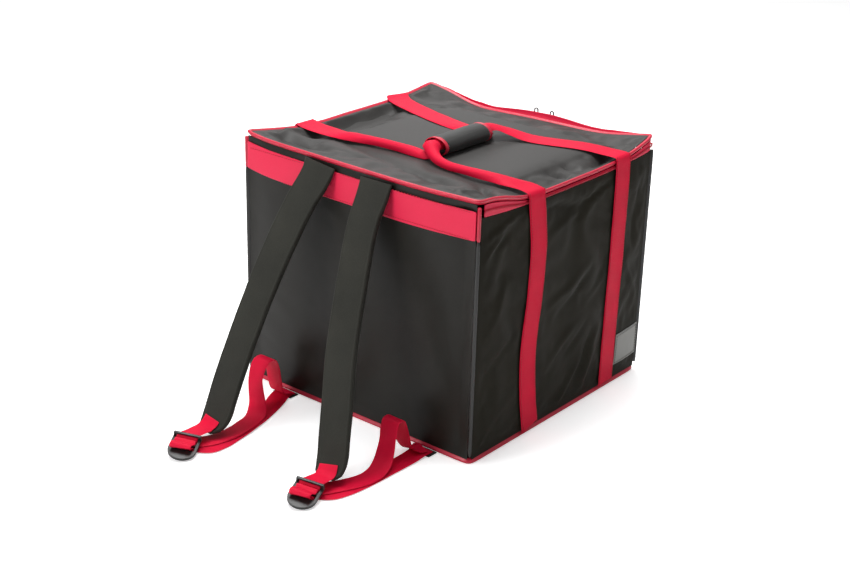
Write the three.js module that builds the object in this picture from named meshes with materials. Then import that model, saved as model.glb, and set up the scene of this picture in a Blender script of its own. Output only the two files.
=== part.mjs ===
// Insulated delivery backpack: a padded box bag with a zipped lid, two carry handles and two shoulder straps.
// Millimetres, +Z up. The origin is the middle of the base, on the floor.
// -Y is the back panel, with the shoulder straps. +X and -X are the side panels, with the carry handles.
import * as THREE from "three";
import { mergeVertices } from "three/addons/utils/BufferGeometryUtils.js";

// Driving dimensions
const WIDTH = 432; // over the side seams
const DEPTH = 426; // back seam to front seam
const TUB_HEIGHT = 352; // top edge of the side and front panels, midway along
const ZIP_HEIGHT = 10; // from that edge to the lid piping at its lowest, midway along the right side
const LID_CORNER_RISE = 20; // how far the lid's corners stand above that
const TUB_CORNER_RISE = 8; // how far the tub's top edge rises to its corners
const BOARD_RISE = 10; // flat middle of the lid above the lowest lid piping
const BOARD_MARGIN = 46; // slack fabric between the lid's piping and its stiff middle
const WALL = 8; // foam and fabric of the tub's panels
const LID_WALL = 7; // foam and fabric of the lid
const PIPE_RADIUS = 2.5; // bead of the piping in each seam
const PIPE_TAPE = 5; // seam allowance behind the bead
const GAP = 0.35; // between sewn pieces
const CLEAR = 0.7; // between webbing and what it lies on
const LID_CORNER = 7; // corners of the lid in plan
const PILLOW = 5; // how far a side panel swells past its seams
const BACK_PILLOW = 3; // the back panel is stiffer
const FOLD_DEPTH = 5; // deepest crease in the side panels
const LID_FOLD_DEPTH = 8; // deepest hollow in the lid
const TAPE = 1.4; // zip tape
const COIL_WIDTH = 3.6; // zip teeth, over both rows
const COIL_PROUD = 1.8; // zip teeth in front of their tape
const HANDLE_WEBBING = 38; // width of the carry handles
const HANDLE_THICK = 1.6;
const HANDLE_FOOT = 10; // the handles go into the base seam at this height
const GRIP_LENGTH = 107;
const GRIP_RADIUS = 21; // half the grip's width
const GRIP_FLATTEN = 0.66; // its height over its width
const GRIP_WALL = 2.2;
const GRIP_BINDING = 6; // binding at each end of the grip
const BAND_HEIGHT = 40; // red band across the back panel
const BAND_DROP = 14; // below the lid piping
const BAND_THICK = 1.4;
const STRAP_WIDTH = 51;
const STRAP_THICK = 10;
const STRAP_REACH = 170; // how far the strap ends lie from the back panel
const BUCKLE_WIDTH = 40; // ladder lock, over its side rails
const BUCKLE_LENGTH = 48;
const BUCKLE_THICK = 4;
const BUCKLE_RAIL = 4; // width of its rails and bars
const BUCKLE_SLOT = 10; // length of each of its two slots
const BUCKLE_RISE = 14; // middle of its first bar above the floor
const BUCKLE_LEAN = 12; // degrees that its thumb end leans down
const STRAP_WEBBING = 30; // webbing from the ladder lock to the base
const STRAP_WEBBING_THICK = 1.5;
const LOOP_HEIGHT = 74; // slack loop of the free webbing, the far one
const ANCHOR_WIDTH = 36; // fabric tab over each webbing's seam
const ANCHOR_LENGTH = 18;
const PATCH_WIDTH = 66; // reflective tape on the right side
const PATCH_HEIGHT = 51;
const PATCH_RISE = 31; // its lower edge above the floor
const PATCH_THICK = 0.8;
const SLIDER_LENGTH = 13;
const SLIDER_HEIGHT = 8;
const SLIDER_DEPTH = 4;
const PULL_LENGTH = 28;
const PULL_WIDTH = 8;
const PULL_THICK = 1.6;
const PULL_RIM = 1.8; // metal on each side of the pull's eye

// Steps of the surfaces
const LID_STEPS = { x: 16, y: 14 };
const PANEL_STEPS = { right: [17, 13], left: [12, 11], front: [12, 10], back: [12, 10] };
const BASE_STEPS = 6;
const SEAM_STEPS = { x: 10, y: 10 };
const HANDLE_STEPS = 11; // of a handle's webbing up a side panel
const STRAP_STEPS = 20;

// Sizes that follow
const SEAM_X = WIDTH / 2 - PIPE_RADIUS; // planes of the seam beads
const SEAM_Y = DEPTH / 2 - PIPE_RADIUS;
const LID_EDGE_HEIGHT = TUB_HEIGHT + ZIP_HEIGHT;
const BORDER = Math.SQRT2 * (PIPE_RADIUS + GAP); // a panel's edge stands this far from the bead's axis
const BASE_FLAT = 0.96; // share of the base that lies on the floor
const SEWN_FROM = 0.82; // the locks' webbing starts at this share of the way down a strap

const FABRIC = { color: 0x2b2b28, roughness: 0.85, metalness: 0 };
const LID_FABRIC = { color: 0x4a4948, roughness: 0.75, metalness: 0 };
const WEBBING = { color: 0xd81f45, roughness: 0.8, metalness: 0 };
const STRAP_CLOTH = { color: 0x33342e, roughness: 0.9, metalness: 0 };
const PLASTIC = { color: 0x1b1b1b, roughness: 0.45, metalness: 0 };
const STEEL = { color: 0x9a9a98, roughness: 0.35, metalness: 1 };
const SILVER = { color: 0xa9aaa0, roughness: 0.4, metalness: 0.2 };

// Lid piping: share of LID_CORNER_RISE above LID_EDGE_HEIGHT at each share of a side's half length.
// Along +X for the back and the front, along +Y for the right and the left.
const RIM = [
  { at: -1.0, back: 1.35, right: 1.0, front: 1.1, left: 1.35 },
  { at: -0.8, back: 1.1, right: 0.85, front: 0.72, left: 1.0 },
  { at: -0.55, back: 1.03, right: 0.15, front: 0.05, left: 0.6 },
  { at: -0.3, back: 0.97, right: 0.0, front: 0.08, left: 0.42 },
  { at: 0.0, back: 0.92, right: 0.0, front: 0.18, left: 0.5 },
  { at: 0.3, back: 0.86, right: 0.0, front: 0.2, left: 0.52 },
  { at: 0.6, back: 0.86, right: 0.1, front: 0.28, left: 0.6 },
  { at: 0.8, back: 0.94, right: 0.45, front: 0.62, left: 0.8 },
  { at: 1.0, back: 1.0, right: 1.0, front: 1.0, left: 1.1 },
];

// Creases: ends as shares of a panel's half sizes, width as a share of WIDTH, rise as a share of FOLD_DEPTH,
// or of LID_FOLD_DEPTH for the lid.
const RIGHT_FOLDS = [
  { from: [-0.52, 0.9], to: [-0.92, 0.68], width: 0.022, rise: 0.8 },
  { from: [-0.55, 0.72], to: [-0.8, 0.55], width: 0.03, rise: -0.7 },
  { from: [0.34, 0.3], to: [-0.16, -0.03], width: 0.035, rise: 0.6 },
  { from: [0.3, 0.1], to: [-0.1, -0.22], width: 0.03, rise: -0.6 },
  { from: [0.42, -0.38], to: [0.12, -0.88], width: 0.028, rise: 0.7 },
  { from: [0.26, -0.42], to: [-0.06, -0.85], width: 0.03, rise: -0.6 },
  { from: [-0.06, 0.86], to: [0.4, 0.7], width: 0.028, rise: -0.8 },
  { from: [-0.88, -0.3], to: [-0.84, -0.62], width: 0.024, rise: -0.6 },
  { from: [0.84, 0.5], to: [0.86, -0.5], width: 0.04, rise: -0.4 },
];
const LEFT_FOLDS = [
  { from: [-0.35, 0.75], to: [0.2, 0.55], width: 0.035, rise: -0.7 },
  { from: [0.28, 0.3], to: [0.02, -0.1], width: 0.035, rise: 0.6 },
  { from: [0.85, 0.6], to: [0.8, -0.2], width: 0.035, rise: -0.5 },
];
const FRONT_FOLDS = [
  { from: [-0.6, 0.8], to: [0.1, 0.66], width: 0.04, rise: -0.8 },
  { from: [0.7, 0.7], to: [0.3, 0.1], width: 0.04, rise: 0.6 },
  { from: [-0.5, -0.2], to: [-0.15, -0.75], width: 0.035, rise: -0.6 },
];
const BACK_FOLDS = [
  { from: [-0.4, -0.9], to: [-0.4, 0.4], width: 0.07, rise: 0.25 },
  { from: [0.62, -0.9], to: [0.62, 0.4], width: 0.08, rise: -0.25 },
];
const LID_FOLDS = [
  { from: [-0.88, -0.42], to: [-0.88, 0.42], width: 0.03, rise: -0.9 },
  { from: [0.86, -0.34], to: [0.86, 0.4], width: 0.03, rise: -0.4 },
  { from: [-0.85, -0.62], to: [-0.55, -0.62], width: 0.03, rise: -0.6 },
  { from: [-0.5, -0.82], to: [0.45, -0.82], width: 0.035, rise: -0.35 },
  { from: [0.6, -0.58], to: [0.86, -0.62], width: 0.026, rise: -0.8 },
  { from: [0.5, -0.76], to: [0.84, -0.8], width: 0.026, rise: 0.4 },
  { from: [0.62, 0.72], to: [0.88, 0.7], width: 0.026, rise: -0.6 },
  { from: [-0.6, 0.8], to: [0.6, 0.82], width: 0.03, rise: -0.25 },
];

// Carry handles up a side panel: the webbing's axis as a share of the panel's half length,
// at each share of the way up from the base seam to the lid piping.
const SIDE_RUN = [
  { up: 0.0, near: -0.36, far: 0.575 },
  { up: 0.15, near: -0.42, far: 0.56 },
  { up: 0.37, near: -0.445, far: 0.565 },
  { up: 0.58, near: -0.405, far: 0.575 },
  { up: 0.78, near: -0.39, far: 0.578 },
  { up: 0.93, near: -0.405, far: 0.59 },
  { up: 1.0, near: -0.42, far: 0.592 },
];

// Carry handles across the lid, from the lid piping to the grip, with x turned over for the left one.
// x and y are shares of the half sizes, lift is the height over the lid as a share of the webbing's width,
// and curl is how far the webbing closes to a tube, in half turns.
const LID_RUNS = {
  right: {
    near: [
      { x: 0.93, y: -0.43, lift: 0.0, curl: 0 },
      { x: 0.82, y: -0.465, lift: 0.0, curl: 0.4 },
      { x: 0.7, y: -0.5, lift: 0.0, curl: 1.0 },
      { x: 0.53, y: -0.525, lift: 0.0, curl: 1.6 },
      { x: 0.37, y: -0.52, lift: 0.0, curl: 1.6 },
      { x: 0.25, y: -0.485, lift: 0.1, curl: 1.3 },
      { x: 0.155, y: -0.42, lift: 0.44, curl: 0.75 },
    ],
    far: [
      { x: 0.93, y: 0.585, lift: 0.0, curl: 0 },
      { x: 0.76, y: 0.54, lift: 0.02, curl: 0 },
      { x: 0.55, y: 0.47, lift: 0.03, curl: 0 },
      { x: 0.36, y: 0.41, lift: 0.06, curl: 0 },
      { x: 0.23, y: 0.345, lift: 0.25, curl: 0.1 },
      { x: 0.15, y: 0.265, lift: 0.42, curl: 0.3 },
    ],
  },
  left: {
    near: [
      { x: 0.93, y: -0.42, lift: 0.0, curl: 0 },
      { x: 0.74, y: -0.44, lift: 0.02, curl: 0 },
      { x: 0.5, y: -0.45, lift: 0.02, curl: 0.7 },
      { x: 0.3, y: -0.45, lift: 0.02, curl: 1.4 },
      { x: 0.12, y: -0.43, lift: 0.0, curl: 1.4 },
      { x: 0.0, y: -0.425, lift: 0.0, curl: 1.1 },
      { x: -0.11, y: -0.42, lift: 0.0, curl: 0.8 },
    ],
    far: [
      { x: 0.93, y: 0.54, lift: 0.0, curl: 0 },
      { x: 0.74, y: 0.47, lift: 0.02, curl: 0 },
      { x: 0.5, y: 0.39, lift: 0.02, curl: 0 },
      { x: 0.28, y: 0.33, lift: 0.02, curl: 0.1 },
      { x: 0.08, y: 0.3, lift: 0.0, curl: 0.4 },
      { x: -0.07, y: 0.27, lift: 0.04, curl: 0.75 },
    ],
  },
};
const GRIP = { x: 0.126, y: -0.09 }; // its middle on the lid
const GRIP_CURL = 0.75; // the webbings inside it

// Shoulder straps from the top seam to their ends: side is a share of half the width, reach of STRAP_REACH,
// height of the way from the floor to the seam, wide and thick of the strap's own sizes.
const STRAPS = {
  right: [
    { side: 0.19, reach: 0.0, height: 1.0, wide: 1.08, thick: 0.35 },
    { side: 0.19, reach: 0.012, height: 0.955, wide: 1.05, thick: 0.8 },
    { side: 0.19, reach: 0.117, height: 0.85, wide: 1, thick: 1 },
    { side: 0.24, reach: 0.32, height: 0.637, wide: 1, thick: 1 },
    { side: 0.308, reach: 0.525, height: 0.425, wide: 1, thick: 1 },
    { side: 0.396, reach: 0.7, height: 0.237, wide: 1, thick: 1 },
    { side: 0.434, reach: 0.78, height: 0.157, wide: 1, thick: 1 },
    { side: 0.466, reach: 0.856, height: 0.08, wide: 1, thick: 0.9 },
    { side: 0.482, reach: 0.93, height: 0.045, wide: 0.85, thick: 0.7 },
    { side: 0.49, reach: 1.0, height: 0.036, wide: 0.55, thick: 0.4 },
  ],
  left: [
    { side: -0.29, reach: 0.0, height: 1.0, wide: 1.12, thick: 0.35 },
    { side: -0.3, reach: 0.012, height: 0.955, wide: 1.08, thick: 0.8 },
    { side: -0.351, reach: 0.127, height: 0.85, wide: 1.04, thick: 1 },
    { side: -0.424, reach: 0.348, height: 0.637, wide: 1.03, thick: 1 },
    { side: -0.4685, reach: 0.569, height: 0.425, wide: 1, thick: 1 },
    { side: -0.492, reach: 0.763, height: 0.237, wide: 1, thick: 1 },
    { side: -0.496, reach: 0.846, height: 0.157, wide: 1, thick: 1 },
    { side: -0.502, reach: 0.929, height: 0.08, wide: 1, thick: 0.9 },
    { side: -0.51, reach: 1.01, height: 0.045, wide: 0.85, thick: 0.7 },
    { side: -0.515, reach: 1.09, height: 0.036, wide: 0.55, thick: 0.4 },
  ],
};

// Ladder locks: the middle of the bar that the strap's webbing goes round, how far the lock is turned and
// rolled, and the share of the webbing's width by which the slack over its thumb end has slipped sideways.
const LOCKS = {
  right: { side: 0.49, reach: 1.175, turn: 19, roll: 8, slip: 0.08 },
  left: { side: -0.51, reach: 1.295, turn: 30, roll: 8, slip: 0.06 },
};

// Webbing from its anchor in the base seam to the lock, and back from the lock as the free tail with its
// slack loop. side and reach are as above, from the back seam, and lift is a share of LOOP_HEIGHT.
const RUNS = {
  right: {
    out: [
      { side: 0.65, reach: 0.03, lift: 0.036 },
      { side: 0.65, reach: 0.12, lift: 0.036 },
      { side: 0.648, reach: 0.24, lift: 0.015 },
      { side: 0.642, reach: 0.55, lift: 0.015 },
      { side: 0.63, reach: 0.85, lift: 0.015 },
      { side: 0.59, reach: 1.07, lift: 0.015 },
    ],
    back: [
      { side: 0.54, reach: 1.02, lift: 0.042, face: [0, 0, -1] },
      { side: 0.62, reach: 0.8, lift: 0.045, face: [0, 0, -1] },
      { side: 0.635, reach: 0.63, lift: 0.06, face: [0, 0, -1] },
      { side: 0.6, reach: 0.48, lift: 0.16, face: [0, 0.5, -0.8] },
      { side: 0.56, reach: 0.37, lift: 0.45, face: [0, 1, -0.2] },
      { side: 0.54, reach: 0.3, lift: 0.74, face: [0, 0.8, -0.6] },
      { side: 0.545, reach: 0.23, lift: 0.74, face: [0, -0.6, -0.8] },
      { side: 0.56, reach: 0.2, lift: 0.42, face: [0, -1, -0.1] },
      { side: 0.59, reach: 0.165, lift: 0.13, face: [0, -0.8, -0.6] },
      { side: 0.63, reach: 0.1, lift: 0.09, face: [0, 0, -1] },
      { side: 0.645, reach: 0.05, lift: 0.085, face: [0, 0, -1] },
    ],
  },
  left: {
    out: [
      { side: -0.59, reach: 0.03, lift: 0.036 },
      { side: -0.585, reach: 0.12, lift: 0.036 },
      { side: -0.54, reach: 0.26, lift: 0.015 },
      { side: -0.45, reach: 0.6, lift: 0.015 },
      { side: -0.39, reach: 0.98, lift: 0.015 },
      { side: -0.39, reach: 1.2, lift: 0.015 },
    ],
    back: [
      { side: -0.45, reach: 1.12, lift: 0.042, face: [0, 0, -1] },
      { side: -0.42, reach: 0.92, lift: 0.045, face: [0, 0, -1] },
      { side: -0.44, reach: 0.72, lift: 0.045, face: [0, 0, -1] },
      { side: -0.48, reach: 0.56, lift: 0.06, face: [0, 0.1, -1] },
      { side: -0.53, reach: 0.48, lift: 0.26, face: [0, 0.8, -0.5] },
      { side: -0.575, reach: 0.44, lift: 0.64, face: [0, 1, -0.1] },
      { side: -0.588, reach: 0.35, lift: 0.96, face: [0, 0.7, -0.7] },
      { side: -0.588, reach: 0.25, lift: 0.94, face: [0, -0.7, -0.7] },
      { side: -0.588, reach: 0.2, lift: 0.52, face: [0, -1, -0.1] },
      { side: -0.588, reach: 0.16, lift: 0.16, face: [0, -0.8, -0.6] },
      { side: -0.588, reach: 0.1, lift: 0.09, face: [0, 0, -1] },
      { side: -0.588, reach: 0.05, lift: 0.085, face: [0, 0, -1] },
    ],
  },
};

const group = new THREE.Group();

function clamp(x, low, high) {
  return Math.min(high, Math.max(low, x));
}

function smooth(x) {
  const t = clamp(x, 0, 1);
  return t * t * (3 - 2 * t);
}

// Value of one column of a table at a place between its rows, on a smooth curve through them.
function column(rows, name, key, at) {
  let i = 0;
  while (i < rows.length - 2 && at > rows[i + 1][key]) i++;
  const row = (k) => rows[clamp(k, 0, rows.length - 1)];
  const span = row(i + 1)[key] - row(i)[key];
  const t = clamp((at - row(i)[key]) / span, 0, 1);
  const slope = (a, b) => (row(b)[name] - row(a)[name]) / (row(b)[key] - row(a)[key] || 1);
  const start = slope(Math.max(i - 1, 0), i + 1) * span;
  const end = slope(i, Math.min(i + 2, rows.length - 1)) * span;
  const t2 = t * t;
  const t3 = t2 * t;
  return (
    row(i)[name] * (2 * t3 - 3 * t2 + 1) +
    start * (t3 - 2 * t2 + t) +
    row(i + 1)[name] * (3 * t2 - 2 * t3) +
    end * (t3 - t2)
  );
}

// Height of the lid piping's axis along one side.
function rim(side, at) {
  return LID_EDGE_HEIGHT + LID_CORNER_RISE * column(RIM, side, "at", clamp(at, -1, 1));
}

// Height of the tub's top edge along a zipped side.
function tubEdge(at) {
  return TUB_HEIGHT + TUB_CORNER_RISE * Math.abs(clamp(at, -1, 1)) ** 3;
}

// Turns a closed geometry's faces outwards.
function outward(geometry) {
  const p = geometry.getAttribute("position");
  const index = geometry.getIndex();
  const [a, b, c] = [new THREE.Vector3(), new THREE.Vector3(), new THREE.Vector3()];
  let volume = 0;
  for (let i = 0; i < index.count; i += 3) {
    a.fromBufferAttribute(p, index.getX(i));
    b.fromBufferAttribute(p, index.getX(i + 1));
    c.fromBufferAttribute(p, index.getX(i + 2));
    volume += a.dot(b.cross(c));
  }
  if (volume < 0) {
    for (let i = 0; i < index.count; i += 3) {
      const second = index.getX(i + 1);
      index.setX(i + 1, index.getX(i + 2));
      index.setX(i + 2, second);
    }
  }
  geometry.deleteAttribute("normal");
  geometry.deleteAttribute("uv");
  return geometry;
}

function add(name, geometry, look) {
  const mesh = new THREE.Mesh(geometry, new THREE.MeshStandardMaterial(look));
  mesh.geometry.computeVertexNormals();
  mesh.name = name;
  group.add(mesh);
  return mesh;
}

// A box whose corners (s, t) from -1 to 1 and depth from 0, outside, to 1, inside, are placed by a function.
function shell(sSteps, tSteps, place) {
  const box = new THREE.BoxGeometry(2, 2, 1, sSteps, tSteps, 1);
  const p = box.getAttribute("position");
  for (let i = 0; i < p.count; i++) {
    const at = place(p.getX(i), p.getY(i), 0.5 - p.getZ(i));
    p.setXYZ(i, at.x, at.y, at.z);
  }
  return outward(box);
}

// Closer steps towards the edges, where a padded panel turns into its seam.
function towardsEdges(s) {
  return s * (1.42 - 0.42 * s * s);
}

// Height of the creases of one panel at (s, t), in shares of the fold depth.
function creases(folds, s, t, halfWidth, halfHeight) {
  let rise = 0;
  for (const fold of folds) {
    const from = new THREE.Vector2(fold.from[0] * halfWidth, fold.from[1] * halfHeight);
    const line = new THREE.Vector2(fold.to[0] * halfWidth, fold.to[1] * halfHeight).sub(from);
    const at = new THREE.Vector2(s * halfWidth, t * halfHeight).sub(from);
    const along = clamp(at.dot(line) / line.lengthSq(), 0, 1);
    const away = at.distanceTo(line.multiplyScalar(along)) / (fold.width * WIDTH);
    rise += fold.rise * Math.exp(-away * away);
  }
  return rise;
}

// 1 where no webbing pins the panel flat, 0 under a handle's run.
function freeOfWebbing(t, s, half) {
  const up = (t + 1) / 2;
  let free = 1;
  for (const run of ["near", "far"]) {
    const away = ((s - column(SIDE_RUN, run, "up", up)) * half) / (HANDLE_WEBBING * 0.8);
    free *= 1 - Math.exp(-(away ** 4));
  }
  return free;
}

const PANELS = {
  right: { half: SEAM_Y, pillow: PILLOW, folds: RIGHT_FOLDS, out: [1, 0], along: [0, 1], pinned: true },
  left: { half: SEAM_Y, pillow: PILLOW, folds: LEFT_FOLDS, out: [-1, 0], along: [0, 1], pinned: true },
  front: { half: SEAM_X, pillow: PILLOW, folds: FRONT_FOLDS, out: [0, 1], along: [1, 0], pinned: false },
  back: { half: SEAM_X, pillow: BACK_PILLOW, folds: BACK_FOLDS, out: [0, -1], along: [1, 0], pinned: false },
};

// How far a panel's outside stands from its seam plane.
function swell(side, s, t) {
  const panel = PANELS[side];
  const edge = (1 - s ** 8) * (1 - t ** 8);
  const free = panel.pinned ? freeOfWebbing(t, s, panel.half) : 1;
  const rise = creases(panel.folds, s, t, panel.half, TUB_HEIGHT / 2);
  return edge * (panel.pillow + FOLD_DEPTH * free * rise);
}

// A point beside a panel: along it, at a height, and out from its seam plane.
function beside(side, along, height, out) {
  const panel = PANELS[side];
  const seam = panel.out[0] ? SEAM_X : SEAM_Y;
  return new THREE.Vector3(
    panel.out[0] * (seam + out) + panel.along[0] * along,
    panel.out[1] * (seam + out) + panel.along[1] * along,
    height,
  );
}

// One upright wall of the tub, mitred to its neighbours. The back one runs up to the lid's piping.
function wall(side, sSteps, tSteps) {
  const half = PANELS[side].half;
  return shell(sSteps, tSteps, (rawS, rawT, depth) => {
    const [s, t] = [towardsEdges(rawS), towardsEdges(rawT)];
    const inset = BORDER + depth * WALL;
    const low = PIPE_RADIUS + inset;
    const share = (s * (half - inset)) / half;
    const high = side === "back" ? rim("back", share) - inset : tubEdge(share);
    const out = swell(side, s, t) - depth * WALL;
    return beside(side, s * (half - inset), low + ((high - low) * (t + 1)) / 2, out);
  });
}

// Height of the lid's outside at (s, t): slack from the piping, stiff and flat in the middle.
function lidHeight(s, t) {
  const across = (rim("back", s) * (1 - t) + rim("front", s) * (1 + t)) / 2;
  const along = (rim("left", t) * (1 - s) + rim("right", t) * (1 + s)) / 2;
  const corners =
    ((1 - s) * ((1 - t) * rim("back", -1) + (1 + t) * rim("front", -1)) +
      (1 + s) * ((1 - t) * rim("back", 1) + (1 + t) * rim("front", 1))) / 4;
  const board =
    smooth(((1 - Math.abs(s)) * SEAM_X) / BOARD_MARGIN) * smooth(((1 - Math.abs(t)) * SEAM_Y) / BOARD_MARGIN);
  const slack = across + along - corners;
  const edge = (1 - s ** 8) * (1 - t ** 8);
  const folds = creases(LID_FOLDS, s, t, SEAM_X, SEAM_Y);
  return slack + (LID_EDGE_HEIGHT + BOARD_RISE - slack) * board + edge * LID_FOLD_DEPTH * folds;
}

// A point of the bag's outline in plan at (s, t) on the border of the square from -1 to 1, with its corners
// turned at a radius, and the direction out from it. inset is how far it lies inside the seams.
function outline(s, t, corner, inset = 0) {
  const radius = Math.max(corner - inset, 0);
  const inner = new THREE.Vector2(SEAM_X - inset - radius, SEAM_Y - inset - radius);
  const at = new THREE.Vector2(s * (SEAM_X - inset), t * (SEAM_Y - inset));
  const past = new THREE.Vector2(Math.abs(at.x) - inner.x, Math.abs(at.y) - inner.y);
  const out = new THREE.Vector2(Math.abs(s) === 1 ? s : 0, Math.abs(s) === 1 ? 0 : t);
  if (past.x > 0 && past.y > 0) {
    past.normalize();
    out.set(past.x * Math.sign(s), past.y * Math.sign(t));
    at.set(Math.sign(s) * inner.x, Math.sign(t) * inner.y).addScaledVector(out, radius);
  }
  return { at, out };
}

// The lid's fabric in rings that shrink from its rounded border to its middle.
function lid(sSteps, tSteps) {
  return shell(sSteps, tSteps, (rawS, rawT, depth) => {
    const [s, t] = [towardsEdges(rawS), towardsEdges(rawT)];
    const ring = Math.max(Math.abs(s), Math.abs(t)) || 1;
    const { at } = outline(s / ring, t / ring, LID_CORNER, BORDER + depth * LID_WALL);
    at.multiplyScalar(ring);
    return new THREE.Vector3(at.x, at.y, lidHeight(s, t) - depth * LID_WALL);
  });
}

// The base rests flat on the floor and turns up a little into its seam.
function base(steps) {
  const spread = (raw) => (Math.abs(raw) === 1 ? raw : (raw * BASE_FLAT) / (1 - 2 / steps));
  return shell(steps, steps, (rawS, rawT, depth) => {
    const [s, t] = [spread(rawS), spread(rawT)];
    const inset = BORDER + depth * WALL;
    const turn = Math.max(Math.abs(s), Math.abs(t)) === 1 ? PIPE_RADIUS : 0;
    return new THREE.Vector3(s * (SEAM_X - inset), t * (SEAM_Y - inset), depth * WALL + turn);
  });
}

// A closed surface through rings of equal numbers of points, with its ends capped between opposite points.
function loft(rings, closed) {
  const n = rings[0].length;
  const index = [];
  const quad = (a, b, c, d) => index.push(a, b, c, a, c, d);
  for (let i = 0; i < rings.length - (closed ? 0 : 1); i++) {
    const next = (i + 1) % rings.length;
    for (let j = 0; j < n; j++) {
      const k = (j + 1) % n;
      quad(i * n + j, i * n + k, next * n + k, next * n + j);
    }
  }
  if (!closed) {
    const end = (rings.length - 1) * n;
    for (let j = 0; j < n / 2 - 1; j++) {
      quad(j, n - 1 - j, n - 2 - j, j + 1);
      quad(end + j, end + j + 1, end + n - 2 - j, end + n - 1 - j);
    }
  }
  const geometry = new THREE.BufferGeometry();
  const numbers = rings.flat().flatMap((p) => [p.x, p.y, p.z]);
  geometry.setAttribute("position", new THREE.Float32BufferAttribute(numbers, 3));
  geometry.setIndex(index);
  return outward(geometry);
}

// Piping along a seam: a round bead outside and its folded tape held between the panels.
// Each station has the bead's axis and the direction out of the corner; run is the seam's direction.
const BEAD_ANGLES = [-105, -35, 35, 105];
function piping(stations, closed, tape) {
  const rings = stations.map(({ at, out, run }) => {
    const side = new THREE.Vector3().crossVectors(out, run).normalize();
    const put = (outwards, sideways) =>
      at.clone().addScaledVector(out, outwards).addScaledVector(side, sideways);
    const bead = BEAD_ANGLES.map((degrees) => {
      const angle = THREE.MathUtils.degToRad(degrees);
      return put(PIPE_RADIUS * Math.cos(angle), PIPE_RADIUS * Math.sin(angle));
    });
    const half = PIPE_RADIUS * Math.sin(THREE.MathUtils.degToRad(BEAD_ANGLES[3]));
    return [put(-tape, -half), ...bead, put(-tape, half)];
  });
  return loft(rings, closed);
}

// Stations along the bag's border: sides in order, each at the same steps as the panel that it bounds.
function walk(sides, steps, radius, height, trim = 0) {
  const list = [];
  for (const side of sides) {
    const { out } = PANELS[side];
    const count = out[0] ? steps.y : steps.x;
    for (let i = 0; i < count; i++) list.push([side, towardsEdges((2 * i) / count - 1)]);
  }
  const loop = list.slice(trim, list.length - trim + (trim ? 1 : 0));
  return loop.map(([side, s]) => {
    const [x, y] = PANELS[side].out;
    const { at, out } = outline(x || -s * y, y || s * x, radius);
    const share = side === "back" || side === "right" ? s : -s;
    return {
      at: new THREE.Vector3(at.x, at.y, height(side, share)),
      out: new THREE.Vector3(out.x, out.y, 0),
      side,
      share,
    };
  });
}

function withRun(stations, closed) {
  return stations.map((station, i) => {
    const last = stations[closed ? (i + stations.length - 1) % stations.length : Math.max(i - 1, 0)];
    const next = stations[closed ? (i + 1) % stations.length : Math.min(i + 1, stations.length - 1)];
    return { ...station, run: next.at.clone().sub(last.at).normalize() };
  });
}

const UP = new THREE.Vector3(0, 0, 1);
const DOWN = new THREE.Vector3(0, 0, -1);

// Panels
for (const side of Object.keys(PANELS)) {
  const name = (PANELS[side].pinned ? "side_panel_" : "panel_") + side;
  add(name, wall(side, ...PANEL_STEPS[side]), FABRIC);
}
add("lid_panel", lid(LID_STEPS.x, LID_STEPS.y), LID_FABRIC);
add("base_panel", base(BASE_STEPS), FABRIC);

// Piping round the lid and the base
const ALL_SIDES = ["back", "right", "front", "left"];
function cornerOut(stations, vertical) {
  return stations.map((s) => ({ ...s, out: s.out.clone().add(vertical).normalize() }));
}
const lidSeam = withRun(walk(ALL_SIDES, LID_STEPS, LID_CORNER, rim), true);
add("lid_piping", piping(cornerOut(lidSeam, UP), true, PIPE_TAPE), WEBBING);
const baseSeam = withRun(walk(ALL_SIDES, SEAM_STEPS, BORDER, () => PIPE_RADIUS), true);
add("base_piping", piping(cornerOut(baseSeam, DOWN), true, PIPE_TAPE), WEBBING);

// Upright piping in the tub's corners. The back ones turn red beside the band.
const CORNERS = [
  { name: "back_left", x: -1, y: -1, at: -1 },
  { name: "back_right", x: 1, y: -1, at: 1 },
  { name: "front_left", x: -1, y: 1, at: -1 },
  { name: "front_right", x: 1, y: 1, at: 1 },
];
const bandTop = (s) => rim("back", s) - BAND_DROP;
for (const { name, x, y, at } of CORNERS) {
  const post = (low, high) => {
    const out = new THREE.Vector3(x, y, 0).normalize();
    const stations = [low, high].map((z) => ({
      at: new THREE.Vector3(x * SEAM_X, y * SEAM_Y, z),
      out,
      run: UP,
    }));
    return piping(stations, false, PIPE_TAPE);
  };
  const foot = 2 * (PIPE_RADIUS + BORDER);
  const red = y < 0;
  const top = red ? bandTop(at) - BAND_HEIGHT : tubEdge(1);
  add("corner_piping_" + name, post(foot, top - GAP), FABRIC);
  if (red) add("corner_binding_" + name, post(top, rim("back", at) - 2 * BORDER), WEBBING);
}

// Zip: an upper tape under the lid's piping, a lower tape on the tub's edge, and the teeth in front of both
const ZIP_SIDES = ["right", "front", "left"];
const zipSeam = (height) => withRun(walk(ZIP_SIDES, LID_STEPS, LID_CORNER, height, 1), false);
const zipTop = (side, s) => rim(side, s) - BORDER - TAPE;
const zipFoot = (side, s) => tubEdge(s) + GAP;
const zipMiddle = (side, s) => (zipTop(side, s) + zipFoot(side, s)) / 2;
function strip(low, high, inner, outer) {
  const lows = zipSeam(low);
  return loft(
    zipSeam(high).map(({ at, out }, i) => {
      const foot = lows[i].at;
      return [
        at.clone().addScaledVector(out, outer),
        at.clone().addScaledVector(out, inner),
        foot.clone().addScaledVector(out, inner),
        foot.clone().addScaledVector(out, outer),
      ];
    }),
    false,
  );
}
const halfGap = GAP / 2;
add("zip_tape_upper", strip((a, s) => zipMiddle(a, s) + halfGap, zipTop, -TAPE / 2, TAPE / 2), WEBBING);
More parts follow.
